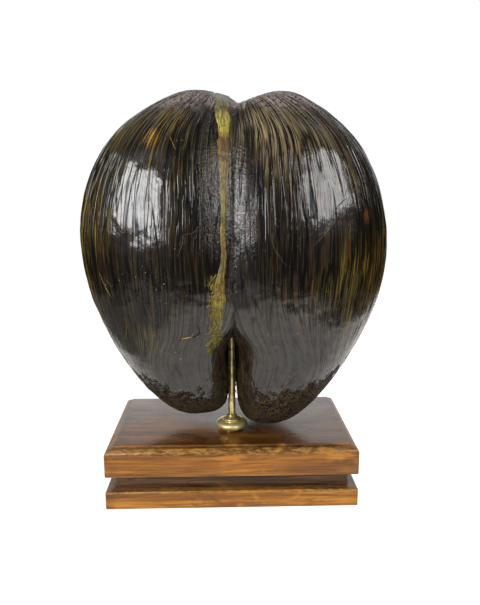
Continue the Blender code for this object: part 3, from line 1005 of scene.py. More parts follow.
RIGHT_LOBE = Lobe("right_lobe", (
    Station(0.0145, 0.2900, 0.0145, 0.2900, 0.000, 0.45, 2.15),
    Station(0.0522, 0.2982, -0.0170, 0.2780, 0.036, 0.44, 2.15),
    Station(0.0968, 0.2715, -0.0330, 0.2540, 0.058, 0.47, 2.15),
    Station(0.1215, 0.2360, -0.0400, 0.2260, 0.073, 0.52, 2.15),
    Station(0.1335, 0.1990, -0.0430, 0.1950, 0.082, 0.54, 2.15),
    Station(0.1365, 0.1630, -0.0430, 0.1650, 0.085, 0.55, 2.15),
    Station(0.1315, 0.1270, -0.0380, 0.1380, 0.084, 0.55, 2.20),
    Station(0.1190, 0.0955, -0.0220, 0.1150, 0.081, 0.53, 2.60),
    Station(0.1020, 0.0665, 0.0041, 0.0880, 0.075, 0.50, 3.50),
    Station(0.0830, 0.0375, 0.0041, 0.0510, 0.064, 0.50, 3.50),
    Station(0.0580, 0.0150, 0.0090, 0.0180, 0.044, 0.50, 3.00),
    Station(0.0300, 0.0046, 0.0300, 0.0046, 0.000, 0.50, 2.30),
))


class Surface:
    """A finished surface that other pieces are laid on."""

    def __init__(self, mesh: bpy.types.Mesh) -> None:
        """Read a mesh."""
        faces = [tuple(face.vertices) for face in mesh.polygons]
        self.tree = BVHTree.FromPolygons([vertex.co for vertex in mesh.vertices], faces)

    def nearest(self, point: Vector, lift: float = 0.0) -> tuple[Vector, Vector]:
        """Return the surface point nearest to a point, lifted a little, and its normal."""
        place, normal, _, _ = self.tree.find_nearest(point)
        return place + normal * lift, normal

    def from_outside(self, middle: Vector, outward: Vector, reach: float = 0.4) -> Vector:
        """Return the outermost surface point on a line from a point inside."""
        return self.tree.ray_cast(middle + outward * reach, -outward)[0]


@dataclass
class Shell:
    """The nut's ridged shell: both lobes in one surface."""

    rows: int = 146
    columns: int = 430
    valley_reach: float = 0.010
    valley_rounds: int = 14
    valley_pull: float = 0.6
    crisp_below: float = 0.118
    crisp_fade: float = 0.020
    crisp_share: float = 0.12
    same_point: float = 1e-5
    ridge_depth: float = 0.0009
    ridge_pace: float = 15.0
    fine_depth: float = 0.0001
    fine_pace: float = 34.0
    lump_depth: float = 0.0012
    swell: float = 0.0014
    calm_low: float = 0.030
    calm_high: float = 0.160
    worn_front: float = 0.050
    worn_depth: float = 0.018

    def lobe(self, lobe: Lobe, number: int) -> tuple[bpy.types.Object, np.ndarray]:
        """Build a smooth lobe.

        Args:
            lobe: Its form.
            number: Its place among the lobes, which sets its streaks apart.

        Returns:
            The object, and the meridian of each of its points.
        """
        last = len(lobe.stations) - 1
        places = np.linspace(0.0, last, self.rows + 2)[1:-1]
        angles = np.linspace(0.0, 2.0 * math.pi, self.columns, endpoint=False)
        grid = lobe.surface(places, angles).reshape(-1, 3)
        ends = lobe.surface(np.array([0.0, float(last)]), np.zeros(1)).reshape(-1, 3)
        vertices = np.vstack([ends[:1], grid, ends[1:]])
        share = np.repeat(places / last, self.columns) + 3.0 * number
        round_it = np.tile(np.stack([np.cos(angles), np.sin(angles)], axis=-1), (self.rows, 1))
        poles = np.array([[0.0, 0.0, 3.0 * number], [0.0, 0.0, 3.0 * number + 1.0]])
        meridians = np.vstack([poles[:1], np.column_stack([round_it, share]), poles[1:]])
        mesh = mesh_from(lobe.name, vertices, pole_faces(self.rows, self.columns))
        return new_object(lobe.name, mesh), meridians

    def label(self, mesh: bpy.types.Mesh, lobes: Sequence[tuple[np.ndarray, np.ndarray]]) -> np.ndarray:
        """Store the meridian of every corner of the joined surface, from the lobe that its face is on.

        Args:
            mesh: The joined surface.
            lobes: Points and meridians of each lobe.

        Returns:
            Which points lie on the line where the lobes meet.
        """
        points = coordinates(mesh)
        near = np.empty((len(lobes), len(points)), int)
        gap = np.empty((len(lobes), len(points)))
        for number, (corners, _) in enumerate(lobes):
            tree = point_tree(corners)
            for index, point in enumerate(points):
                _, near[number, index], gap[number, index] = tree.find(point)
        shared = gap.min(axis=0) > self.same_point
        owner = gap.argmin(axis=0)
        starts = np.empty(len(mesh.polygons), int)
        mesh.polygons.foreach_get("loop_start", starts)
        corner_points = np.empty(len(mesh.loops), int)
        mesh.loops.foreach_get("vertex_index", corner_points)
        votes = np.where(shared[corner_points], 0.0, owner[corner_points] * 2.0 - 1.0)
        face_owner = (np.add.reduceat(votes, starts) > 0.0).astype(int)
        counts = np.diff(np.append(starts, len(corner_points)))
        corner_owner = np.repeat(face_owner, counts)
        values = np.empty((len(corner_points), 3), np.float32)
        for number, (_, meridians) in enumerate(lobes):
            mine = corner_owner == number
            values[mine] = meridians[near[number, corner_points[mine]]]
        store(mesh, "meridian", values, "CORNER")
        return shared

    def soften(self, mesh: bpy.types.Mesh, shared: np.ndarray) -> None:
        """Round the line where the lobes meet, and store how near to it each point is.

        Args:
            mesh: The joined surface.
            shared: Which points lie on the line.
        """
        points = coordinates(mesh)
        tree = point_tree(points[shared])
        distance = np.array([tree.find(point)[2] for point in points])
        nearness = np.clip(1.0 - distance / self.valley_reach, 0.0, 1.0)
        height = points[:, 2] - PLINTH_TOP
        nearness *= np.clip((height - self.crisp_below) / self.crisp_fade, self.crisp_share, 1.0)
        edges = np.empty(len(mesh.edges) * 2, int)
        mesh.edges.foreach_get("vertices", edges)
        edges = edges.reshape(-1, 2)
        count = np.bincount(edges.ravel(), minlength=len(points))[:, None]
        for _ in range(self.valley_rounds):
            total = np.zeros_like(points)
            np.add.at(total, edges[:, 0], points[edges[:, 1]])
            np.add.at(total, edges[:, 1], points[edges[:, 0]])
            points += (total / count - points) * (self.valley_pull * nearness[:, None])
        mesh.vertices.foreach_set("co", points.astype(np.float32).ravel())
        store(mesh, "valley", nearness ** 1.5)
        low = 1.0 - np.clip((height - self.calm_low) / (self.calm_high - self.calm_low), 0.0, 1.0)
        front = np.clip((-points[:, 1] - self.worn_front) / self.worn_depth, 0.0, 1.0)
        store(mesh, "calm", np.maximum.reduce([low, nearness, front]))
        mesh.update()

    def build(self, finish: ShellFinish) -> bpy.types.Object:
        """Build the shell.

        Args:
            finish: Its finish.

        Returns:
            The shell.
        """
        left, left_meridians = self.lobe(LEFT_LOBE, 0)
        right, right_meridians = self.lobe(RIGHT_LOBE, 1)
        sources = ((coordinates(left.data), left_meridians), (coordinates(right.data), right_meridians))
        shell = combine(left, right, "UNION", "MANIFOLD")
        shell.name = "shell"
        shared = self.label(shell.data, sources)
        self.soften(shell.data, shared)
        shell.data.shade_smooth()
        run_tree(shell, relief_tree(), {
            "Ridge Depth": self.ridge_depth,
            "Ridge Pace": self.ridge_pace,
            "Fine Depth": self.fine_depth,
            "Fine Pace": self.fine_pace,
            "Lump Depth": self.lump_depth,
            "Swell": self.swell,
            "Material": finish.material(),
        })
        return bored(shell, PLINTH_TOP + 0.050, ROD_HIGH.z + ROD_ROOM, "MANIFOLD")


@dataclass
class Seam:
    """The raised fibrous seam in the valley, from the cleft over the top to the back.

    Its course is given as bearings in degrees above the front, half widths and sideways shifts.
    """

    course: tuple[Point, ...] = (
        (-44.0, 0.0100, -0.0030), (-38.0, 0.0115, -0.0030), (-33.0, 0.0098, -0.0028),
        (-28.0, 0.0070, -0.0022), (-22.0, 0.0044, -0.0006), (-16.0, 0.0027, 0.0011), (-10.0, 0.0022, 0.0018),
        (-2.0, 0.0026, 0.0012), (8.0, 0.0021, 0.0014), (16.0, 0.0029, 0.0014), (26.0, 0.0032, 0.0014),
        (34.0, 0.0046, 0.0008), (46.0, 0.0050, -0.0004), (56.0, 0.0048, -0.0004), (66.0, 0.0070, -0.0020),
        (88.0, 0.0066, -0.0020), (110.0, 0.0040, 0.0), (222.0, 0.0036, 0.0),
    )
    centre: Point = (-0.0022, -0.006, PLINTH_TOP + 0.185)
    bow: float = 0.0058
    proud: float = 0.0014
    sunk: float = 0.0012
    rows: int = 380
    columns: int = 20
    ragged: float = 0.14
    rag_knots: int = 110
    seed: int = 7

    def build(self, surface: Surface, finish: SeamFinish) -> bpy.types.Object:
        """Build the seam on the shell.

        Args:
            surface: The shell's surface.
            finish: Its finish.

        Returns:
            The seam.
        """
        rng = np.random.default_rng(self.seed)
        shares = np.linspace(0.0, 1.0, self.rows)
        bearings, halves, shifts = (np.array(values) for values in zip(*self.course))
        degrees = bearings[0] + (bearings[-1] - bearings[0]) * shares
        widths = np.interp(degrees, bearings, halves)
        aside = np.interp(degrees, bearings, shifts)
        knots = self.rag_knots
        rag = [
            1.0 + self.ragged * spline(rng.uniform(-1.0, 1.0, knots + 1), shares * knots)
            for _ in range(2)
        ]
        across = np.linspace(-1.0, 1.0, self.columns)
        vertices: list[Vector] = []
        meridians: list[Point] = []
        for row, share in enumerate(shares):
            angle = math.radians(degrees[row])
            outward = Vector((0.0, -math.cos(angle), math.sin(angle)))
            base = self.centre[0] - self.bow * max(0.0, math.cos(angle)) + aside[row]
            taper = min(1.0, 9.0 * share, 9.0 * (1.0 - share))
            for column, side in enumerate(across):
                half = widths[row] * rag[0 if side < 0.0 else 1][row] * (0.25 + 0.75 * taper)
                middle = Vector((base + side * half, self.centre[1], self.centre[2]))
                place = surface.from_outside(middle, outward)
                crown = (1.0 - abs(side) ** 3) * self.proud * min(1.0, 3.0 * taper)
                crown -= 0.0004 if column in (0, self.columns - 1) else 0.0
                vertices.append(place + outward * crown)
                meridians.append((float(side), 0.0, float(share)))
            for side in (1.0, -1.0):
                edge = vertices[-1] if side > 0.0 else vertices[-1 - self.columns]
                vertices.append(edge - outward * self.sunk)
                meridians.append((side, 0.0, float(share)))
        mesh = mesh_from("seam", vertices, ring_faces(self.rows, self.columns + 2))
        store(mesh, "meridian", np.array(meridians))
        mesh.attributes.new("calm", "FLOAT", "POINT")
        return run_tree(new_object("seam", mesh), bpy.data.node_groups["grown_relief"], {
            "Ridge Depth": 0.0007,
            "Ridge Pace": 3.0,
            "Fine Depth": 0.0004,
            "Fine Pace": 7.0,
            "Lump Depth": 0.0012,
            "Swell": 0.0,
            "Material": finish.material(),
        })


@dataclass(frozen=True)
class Strands:
    """A kind of loose fibre: where its strands start, which way they run and how long they are."""

    name: str
    finish: FibreFinish
    low: Point
    high: Point
    heading: Point
    spread: float
    count: int
    length: tuple[float, float]
    thickness: float
    lift: float
    seed: int
    steps: int = 9
    curl: float = 0.35

    def build(self, surface: Surface, tree: bpy.types.NodeTree) -> bpy.types.Object:
        """Lay the strands on the shell.

        Args:
            surface: The shell's surface.
            tree: The tree that gives them their thickness.

        Returns:
            The strands.
        """
        rng = np.random.default_rng(self.seed)
        vertices: list[Vector] = []
        edges: list[tuple[int, int]] = []
        tones: list[float] = []
        for _ in range(self.count):
            start = Vector(rng.uniform(self.low, self.high))
            place, normal = surface.nearest(start, self.lift)
            heading = Vector(self.heading) + Vector(rng.normal(0.0, self.spread, 3))
            bend = Vector(rng.normal(0.0, self.curl, 3))
            step = rng.uniform(*self.length) / self.steps
            tone = rng.uniform(0.0, 1.0)
            for number in range(self.steps + 1):
                vertices.append(place.copy())
                tones.append(tone)
                if number > 0:
                    edges.append((len(vertices) - 2, len(vertices) - 1))
                heading = heading + bend / self.steps
                along = (heading - normal * heading.dot(normal)).normalized()
                lift = self.lift * (1.0 + 0.8 * math.sin(1.7 * number + 6.0 * tone))
                place, normal = surface.nearest(place + along * step, lift)
        mesh = bpy.data.meshes.new(self.name)
        mesh.from_pydata(vertices, edges, [])
        store(mesh, "tone", np.array(tones))
        return run_tree(new_object(self.name, mesh), tree, {
            "Thickness": self.thickness,
            "Sides": 5,
            "Material": self.finish.material(),
        })


YELLOW_FIBRE = FibreFinish("yellow_fibre", (0.055, 0.038, 0.004), (0.190, 0.150, 0.014))
BROWN_FIBRE = FibreFinish("brown_fibre", (0.0030, 0.0020, 0.0012), (0.050, 0.030, 0.010), 0.75, 0.02)
PALE_FIBRE = FibreFinish("pale_fibre", (0.030, 0.022, 0.006), (0.14, 0.105, 0.035))

STRANDS = (
    Strands("seam_flakes", YELLOW_FIBRE, (-0.0150, -0.10, PLINTH_TOP + 0.108),
            (-0.0060, -0.09, PLINTH_TOP + 0.154),
            (-0.45, 0.0, -1.0), 0.42, 120, (0.003, 0.008), 0.00050, 0.0001, 11, 6),
    Strands("cleft_fringe_left", BROWN_FIBRE, (-0.0070, -0.08, PLINTH_TOP + 0.030),
            (-0.0030, -0.05, PLINTH_TOP + 0.110),
            (0.10, 0.0, -1.0), 0.22, 240, (0.006, 0.016), 0.00030, 0.0002, 12, 7),
    Strands("cleft_fringe_right", BROWN_FIBRE, (0.0035, -0.08, PLINTH_TOP + 0.030),
            (0.0070, -0.05, PLINTH_TOP + 0.110),
            (-0.10, 0.0, -1.0), 0.22, 240, (0.006, 0.016), 0.00030, 0.0002, 13, 7),
    Strands("cleft_tufts", YELLOW_FIBRE, (-0.0140, -0.10, PLINTH_TOP + 0.084),
            (-0.0060, -0.08, PLINTH_TOP + 0.108),
            (-0.20, 0.0, -1.0), 0.50, 44, (0.003, 0.008), 0.00055, 0.0001, 14, 6),
    Strands("foot_fibres_left", BROWN_FIBRE, (-0.075, -0.09, PLINTH_TOP + 0.018),
            (-0.004, 0.07, PLINTH_TOP + 0.040),
            (0.45, 0.0, -0.6), 0.40, 700, (0.006, 0.018), 0.00030, 0.00012, 15, 6),
    Strands("foot_fibres_right", BROWN_FIBRE, (0.008, -0.09, PLINTH_TOP + 0.004),
            (0.085, 0.07, PLINTH_TOP + 0.034),
            (-0.45, 0.0, -0.6), 0.40, 700, (0.006, 0.018), 0.00030, 0.00012, 16, 6),
    Strands("cleft_lining", BROWN_FIBRE, (-0.0020, -0.012, PLINTH_TOP + 0.048),
            (0.0028, 0.030, PLINTH_TOP + 0.100),
            (0.0, 0.1, -1.0), 0.30, 420, (0.010, 0.022), 0.00060, 0.0014, 19, 6),
    Strands("loose_hairs_left", PALE_FIBRE, (-0.130, -0.10, PLINTH_TOP + 0.080),
            (-0.020, 0.09, PLINTH_TOP + 0.260),
            (0.25, 0.0, -1.0), 0.22, 60, (0.010, 0.034), 0.00016, 0.0001, 17, 12, 0.8),
    Strands("loose_hairs_right", PALE_FIBRE, (0.020, -0.10, PLINTH_TOP + 0.080),
            (0.135, 0.09, PLINTH_TOP + 0.260),
            (-0.25, 0.0, -1.0), 0.22, 60, (0.010, 0.034), 0.00016, 0.0001, 18, 12, 0.8),
)


GOLD_FIBRE = FibreFinish("gold_fibre", (0.20, 0.13, 0.020), (0.30, 0.21, 0.035))
DARK_CRACK = FibreFinish("dark_crack", (0.0015, 0.0012, 0.0010), (0.003, 0.002, 0.0015), 0.8, 0.0)

FIRST_HAIR_SEED = 31
HAIRS = tuple(
    Strands(name, finish, place, place, heading, 0.0, 1, (length, length), thickness, 0.0002, seed, 12, curl)
    for seed, (name, finish, place, heading, length, thickness, curl) in enumerate((
        ("long_yellow_hair", GOLD_FIBRE, (-0.1045, -0.0640, 0.2080), (0.50, -0.10, -1.0), 0.024, 0.00019,
         0.3),
        ("upright_pale_hair", PALE_FIBRE, (0.0275, -0.0885, 0.1880), (0.03, 0.0, -1.0), 0.024, 0.00022, 0.1),
        ("looped_fibre", PALE_FIBRE, (0.0070, -0.0600, 0.1130), (0.90, 0.0, -0.5), 0.022, 0.00040, 2.6),
        ("yellow_splinter", GOLD_FIBRE, (-0.0400, -0.0850, 0.1580), (1.0, 0.0, 0.15), 0.008, 0.00045, 0.5),
        ("curled_hair", PALE_FIBRE, (-0.0260, -0.0880, 0.2460), (0.10, 0.0, -1.0), 0.015, 0.00028, 1.8),
        ("yellow_twig", GOLD_FIBRE, (-0.0470, -0.0700, 0.3130), (0.35, 0.0, -1.0), 0.012, 0.00020, 0.9),
        ("left_crack", DARK_CRACK, (-0.0330, -0.0850, 0.1590), (1.0, 0.0, 0.10), 0.014, 0.00045, 0.5),
        ("right_crack_high", DARK_CRACK, (0.0790, -0.0790, 0.2570), (0.8, 0.0, 1.0), 0.015, 0.00030, 0.4),
        ("right_crack_middle", DARK_CRACK, (0.0830, -0.0780, 0.2470), (0.75, 0.0, 1.0), 0.014, 0.00030, 0.4),
        ("right_crack_low", DARK_CRACK, (0.0870, -0.0770, 0.2500), (1.0, 0.0, 0.45), 0.013, 0.00030, 0.4),
    ), FIRST_HAIR_SEED)
)


@dataclass
class Nut:
    """The nut: its shell, its seam and its loose fibres."""

    def build(self) -> list[bpy.types.Object]:
        """Return the nut's pieces."""
        shell = Shell().build(ShellFinish())
        surface = Surface(shell.data)
        pieces = [shell, Seam().build(surface, SeamFinish())]
        tree = fibre_tree()
        pieces += [strands.build(surface, tree) for strands in STRANDS + HAIRS]
        return pieces

    def dress(self, pieces: Iterable[bpy.types.Object]) -> None:
        """Fix the pieces to the frame in the solid's place.

        Args:
            pieces: The nut's pieces.
        """
        for piece in pieces:
            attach(piece, BODY)
            if piece.name == "shell":
                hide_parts("nut")


# Stand

def arc(centre: Pair, radii: Pair, start: float, end: float, steps: int) -> list[Pair]:
    """Return points of radius and height on an arc, from one angle to another, in degrees from level."""
    angles = np.radians(np.linspace(start, end, steps + 1))
    return [(centre[0] + radii[0] * math.cos(a), centre[1] + radii[1] * math.sin(a)) for a in angles]


@dataclass
class Brass:
    """The rod and the turned foot round it. Radii and heights of the foot are from its base."""

    sides: int = 96
    rod_chamfer: float = 0.0006
    lip_radius: float = 0.0093
    bead_centre: Pair = (0.0096, 0.0050)
    bead_radii: Pair = (0.0049, 0.0037)
    step: Pair = (0.0090, 0.0088)
    collar_centre: Pair = (0.0070, 0.0099)
    collar_radius: float = 0.0008
    neck: tuple[Pair, ...] = (
        (0.0064, 0.0108), (0.0056, 0.0114), (0.0050, 0.0122), (0.0046, 0.0131), (0.0044, 0.0140),
        (0.0043, 0.0142),
    )

    def turned(self, name: str, outline: Sequence[Pair], closed: bool) -> bpy.types.Object:
        """Turn an outline round the rod's axis.

        Args:
            name: The piece's name.
            outline: Points of radius and height.
            closed: Whether the outline is a ring that runs back down a bore.

        Returns:
            The piece.
        """
        angles = np.linspace(0.0, 2.0 * math.pi, self.sides, endpoint=False)
        vertices = [
            (ROD_X + r * math.cos(a), ROD_Y + r * math.sin(a), z) for r, z in outline for a in angles
        ]
        mesh = mesh_from(name, vertices, ring_faces(len(outline), self.sides, closed))
        mesh.set_sharp_from_angle(angle=math.radians(38.0))
        return new_object(name, mesh)

    def foot_outline(self) -> list[Pair]:
        """Return the foot's outline from its base over lip, bead, collar and neck and back down the bore."""
        bore = ROD_RADIUS + ROD_ROOM
        lip = self.lip_radius
        outline = [(lip - 0.0003, 0.0), (lip, 0.0003), (lip, 0.0011), (lip - 0.0002, 0.0014)]
        outline += arc(self.bead_centre, self.bead_radii, -80.0, 66.0, 26)
        outline += arc((self.step[0] - 0.0003, self.step[1]), (0.0003, 0.0003), -20.0, 90.0, 4)
        outline += arc(self.collar_centre, (self.collar_radius, self.collar_radius), -70.0, 88.0, 9)
        outline += self.neck
        outline += [(bore, outline[-1][1]), (bore, 0.0)]
        return [(radius, FOOT_LOW.z + height) for radius, height in outline]

    def build(self, finish: BrassFinish) -> list[bpy.types.Object]:
        """Return the rod and the foot.

        Args:
            finish: Their finish.
        """
        chamfer = self.rod_chamfer
        rod = [(ROD_RADIUS - chamfer, ROD_LOW.z), (ROD_RADIUS, ROD_LOW.z + chamfer)]
        rod += [(ROD_RADIUS, ROD_HIGH.z - chamfer), (ROD_RADIUS - chamfer, ROD_HIGH.z)]
        pieces = [
            self.turned("support_rod", rod, False),
            self.turned("turned_foot", self.foot_outline(), True),
        ]
        material = finish.material()
        for piece in pieces:
            piece.data.materials.append(material)
        return pieces

    def dress(self, pieces: Sequence[bpy.types.Object]) -> None:
        """Fix the pieces to the frame in the solids' place.

        Args:
            pieces: The rod and the foot.
        """
        for piece, node in zip(pieces, ("rod", "foot")):
            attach(piece, BODY)
            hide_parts(node)


@dataclass
class Board:
    """A rectangular board with a worked edge, given as (inset, height) points from bottom to top."""

    name: str
    node: str
    slot: Slot
    outline: Sequence[Pair]
    finish: WoodFinish
    half_width: float = UPPER_HIGH.x
    half_depth: float = UPPER_HIGH.y
    corner: float = 0.0011
    corner_steps: int = 4

    def ring(self, inset: float, height: float) -> list[Point]:
        """Return the board's outline at one point of its edge, with its corners a little rounded.

        Args:
            inset: How far in from the board's outer size.
            height: The height.

        Returns:
            The points, in order round the board.
        """
        wide, deep = self.half_width - inset, self.half_depth - inset
        points: list[Point] = []
        for quarter, (sign_x, sign_y) in enumerate(((1, -1), (1, 1), (-1, 1), (-1, -1))):
            centre_x, centre_y = sign_x * (wide - self.corner), sign_y * (deep - self.corner)
            for step in range(self.corner_steps + 1):
                angle = math.radians(90.0 * (quarter - 1) + 90.0 * step / self.corner_steps)
                reach_x, reach_y = self.corner * math.cos(angle), self.corner * math.sin(angle)
                points.append((centre_x + reach_x, centre_y + reach_y, height))
        return points

    def build(self) -> bpy.types.Object:
        """Return the board, bored for the rod."""
        rings = [self.ring(inset, height) for inset, height in self.outline]
        vertices = [point for ring in rings for point in ring]
        mesh = mesh_from(self.name, vertices, ring_faces(len(rings), len(rings[0])))
        mesh.set_sharp_from_angle(angle=math.radians(35.0))
        board = new_object(self.name, mesh)
        board.data.materials.append(self.finish.material())
        bottom = max(self.outline[0][1] - 0.001, ROD_LOW.z - ROD_ROOM)
        return bored(board, bottom, self.outline[-1][1] + 0.001, "EXACT")

    def dress(self, piece: bpy.types.Object) -> None:
        """Fix the board to the frame in the solid's place.

        Args:
            piece: The board.
        """
        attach(piece, BODY)
        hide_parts(self.node)


@dataclass
class Plinth:
    """Three boards: a moulded one on top, a dark recessed one, and a plain one below."""

    panel_inset: float = 0.0068
    panel_step: float = 0.0016
    panel_radius: float = 0.0006
    moulding_drop: float = 0.0072
    neck_inset: float = 0.0078
    edge_break: float = 0.0007
    lower_radius: float = 0.0014

    def upper_outline(self) -> list[Pair]:
        """Return the upper board's edge: a plain face, a quarter round, a quirk and a raised panel."""
        low, top = UPPER_LOW.z, UPPER_HIGH.z
        drop = self.moulding_drop - self.panel_step
        width = self.panel_inset - 0.0004
        edge = self.edge_break
        outline = [(edge, low), (0.3 * edge, low + 0.3 * edge), (0.0, low + edge)]
        for angle in np.linspace(0.0, 0.5 * math.pi, 13):
            height = top - self.moulding_drop + drop * math.sin(angle)
            outline.append((width * (1.0 - math.cos(angle)), height))
        outline.append((self.panel_inset, top - self.panel_step))
        for angle in np.linspace(0.0, 0.5 * math.pi, 5):
            inset = self.panel_inset + self.panel_radius * (1.0 - math.cos(angle))
            outline.append((inset, top - self.panel_radius * (1.0 - math.sin(angle))))
        return outline

    def neck_outline(self) -> list[Pair]:
        """Return the recessed board's edge."""
        return [(self.neck_inset, NECK_LOW.z), (self.neck_inset, NECK_HIGH.z)]

    def lower_outline(self) -> list[Pair]:
        """Return the lower board's edge, with its top edge rounded."""
        outline = [(0.0004, LOWER_LOW.z), (0.0, LOWER_LOW.z + 0.0004)]
        for angle in np.linspace(0.0, 0.5 * math.pi, 7):
            inset = self.lower_radius * (1.0 - math.cos(angle))
            outline.append((inset, LOWER_HIGH.z - self.lower_radius * (1.0 - math.sin(angle))))
        return outline

    def boards(self) -> list[Board]:
        """Return the three boards with their finishes."""
        # The last colour of each is the band of wear and painted highlight.
        warm = ((0.46, 0.185, 0.020), (0.250, 0.094, 0.011), (0.075, 0.026, 0.005), (0.38, 0.235, 0.075))
        brown = ((0.145, 0.070, 0.026), (0.074, 0.036, 0.015), (0.022, 0.011, 0.006), (0.07, 0.035, 0.02))
        upper = WoodFinish("upper_wood", *warm, UPPER_HIGH.z - 0.004, 0.004, seed=1.3)
        neck = WoodFinish("neck_wood", *brown, 0.0, 0.001, seed=4.1, coat=0.3)
        lower = WoodFinish("lower_wood", *warm, LOWER_HIGH.z, 0.0025, seed=7.7)
        return [
            Board("moulded_board", "upper_board", Slot.WOOD, self.upper_outline(), upper),
            Board("recessed_board", "neck_board", Slot.DARK_WOOD, self.neck_outline(), neck),
            Board("base_board", "lower_board", Slot.WOOD, self.lower_outline(), lower),
        ]


# Studio

@dataclass(frozen=True)
class Softbox:
    """A square light, aimed at the nut. Its bearing is from straight in front, positive to the right."""

    name: str
    bearing: float
    elevation: float
    distance: float
    width: float
    height: float
    power: float
    roll: float

    def build(self, target: Vector) -> bpy.types.Object:
        """Hang the light.

        Args:
            target: What it is aimed at.

        Returns:
            The light.
        """
        data = bpy.data.lights.new(self.name, "AREA")
        data.shape = "RECTANGLE"
        data.size, data.size_y = self.width, self.height
        data.energy = self.power
        light = bpy.data.objects.new(self.name, data)
        bpy.context.scene.collection.objects.link(light)
        bearing, elevation = math.radians(self.bearing), math.radians(self.elevation)
        outward = Vector((
            math.sin(bearing) * math.cos(elevation),
            -math.cos(bearing) * math.cos(elevation),
            math.sin(elevation),
        ))
        light.location = target + outward * self.distance
        turn = Matrix.Rotation(math.radians(self.roll), 3, outward)
        light.rotation_euler = (turn @ outward.to_track_quat("Z", "Y").to_matrix()).to_euler()
        return light


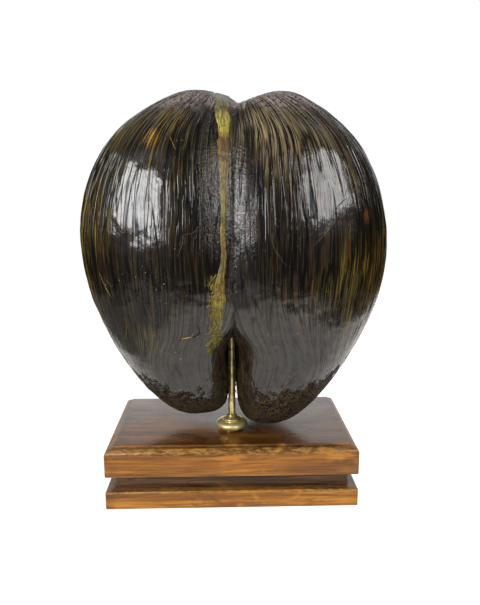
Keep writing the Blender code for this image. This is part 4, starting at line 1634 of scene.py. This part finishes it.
@dataclass
class Studio:
    """Pale floor and surroundings, two softboxes in front, and the camera."""

    target: Point = (0.0, -0.08, 0.25)
    softboxes: tuple[Softbox, ...] = (
        Softbox("left_softbox", -49.5, 21.5, 0.90, 0.76, 0.54, 14.6, -6.0),
        Softbox("right_softbox", 53.0, 28.0, 0.90, 0.74, 0.47, 6.9, 8.0),
    )
    floor_front: float = -0.74
    floor_back: float = 1.1
    floor_half_width: float = 0.60
    floor_bow: float = 36.0
    floor_middle: float = 0.08
    floor_fade: float = 0.22
    floor_glow: float = 0.95
    floor_tint: Colour = (1.0, 0.955, 0.89)
    overhead: float = 0.75
    camera_place: Point = (-0.0073, -0.547, 0.2744)
    camera_pitch: float = 10.84
    camera_yaw: float = 1.67
    camera_roll: float = -0.07
    focal_pixels: float = 600.0
    picture_height: float = 605.0
    sensor: float = 36.0

    def floor(self) -> bpy.types.Object:
        """Return the pale floor."""
        wide, near, far = self.floor_half_width, self.floor_front, self.floor_back
        low = LOWER_LOW.z - 0.0003
        corners = [(-wide, near, low), (wide, near, low), (wide, far, low), (-wide, far, low)]
        mesh = bpy.data.meshes.new("floor")
        mesh.from_pydata(corners, [], [(0, 1, 2, 3)])
        material, bench, shader = new_material("pale_floor")
        place = bench.position()
        bow = bench.math("POWER", bench.minus(bench.axis(place, "X"), self.floor_middle), 4.0)
        inward = bench.minus(bench.minus(bench.axis(place, "Y"), near), bench.times(bow, self.floor_bow))
        right = bench.ramp(bench.axis(place, "X"), -0.10, 0.25, 1.0, 1.3)
        seen = bench.add("ShaderNodeLightPath").outputs["Is Camera Ray"]
        share = bench.most(bench.times(bench.ramp(inward, 0.0, self.floor_fade), right), seen)
        bench.feed(shader, {
            "Emission Strength": bench.times(share, self.floor_glow),
            "Emission Color": bench.mix(seen, self.floor_tint, WHITE),
            "Base Color": (0.12, 0.12, 0.12, 1.0),
            "Roughness": 0.7,
        })
        mesh.materials.append(material)
        floor = new_object("floor", mesh)
        return floor

    def surroundings(self) -> None:
        """Set a world that is white behind the object and dark on the camera's side."""
        world = bpy.data.worlds.new("studio")
        world.use_nodes = True
        bpy.context.scene.world = world
        bench = Bench(world.node_tree)
        direction = bench.add("ShaderNodeTexCoord").outputs["Generated"]
        aside, ahead, up = (bench.axis(direction, name) for name in "XYZ")
        back = bench.plus(ahead, bench.times(up, 0.35), bench.times(aside, 0.09))
        behind = bench.ramp(back, 0.80, 0.98, 0.004, 1.0)
        overhead = bench.ramp(up, 0.60, 0.90, 0.0, self.overhead)
        overhead = bench.times(overhead, bench.ramp(ahead, -0.35, 0.40, 0.15, 1.0))
        seen = bench.add("ShaderNodeLightPath").outputs["Is Camera Ray"]
        strength = bench.most(behind, overhead, seen)
        bench.feed(world.node_tree.nodes["Background"], {"Strength": strength, "Color": (*WHITE, 1.0)})

    def camera(self) -> bpy.types.Object:
        """Return the camera, at the photograph's angle."""
        data = bpy.data.cameras.new("camera")
        data.sensor_fit = "AUTO"
        data.sensor_width = self.sensor
        data.lens = self.sensor * self.focal_pixels / self.picture_height
        camera = bpy.data.objects.new("camera", data)
        bpy.context.scene.collection.objects.link(camera)
        yaw, pitch = math.radians(self.camera_yaw), math.radians(self.camera_pitch)
        ahead = Vector((math.sin(yaw) * math.cos(pitch), math.cos(yaw) * math.cos(pitch), -math.sin(pitch)))
        side = Vector((math.cos(yaw), -math.sin(yaw), 0.0))
        turn = Matrix((side, side.cross(ahead), -ahead)).transposed()
        roll = Matrix.Rotation(-math.radians(self.camera_roll), 3, ahead)
        camera.matrix_world = Matrix.Translation(self.camera_place) @ (roll @ turn).to_4x4()
        bpy.context.scene.camera = camera
        return camera

    def build(self) -> None:
        """Set up the floor, the light and the camera."""
        self.camera()
        self.floor()
        self.surroundings()
        for softbox in self.softboxes:
            softbox.build(Vector(self.target))
        bpy.context.scene.view_settings.view_transform = "Standard"


def triangles(obj: bpy.types.Object) -> int:
    """Return how many triangles an object has."""
    obj.data.calc_loop_triangles()
    return len(obj.data.loop_triangles)


def report(pieces: Iterable[bpy.types.Object]) -> None:
    """Log each piece.

    Args:
        pieces: The pieces.
    """
    for piece in pieces:
        LOG.info("%s: %d triangles", piece.name, triangles(piece))


def main() -> None:
    """Build the sub-assemblies in order, dress them and set up the studio."""
    logging.basicConfig(level=logging.INFO, format="%(name)s: %(message)s")
    Studio().build()
    nut = Nut()
    pieces = nut.build()
    nut.dress(pieces)
    report(pieces)
    brass = Brass()
    metal = brass.build(BrassFinish())
    brass.dress(metal)
    report(metal)
    for board in Plinth().boards():
        piece = board.build()
        board.dress(piece)
        report([piece])


if __name__ == "__main__":
    main()
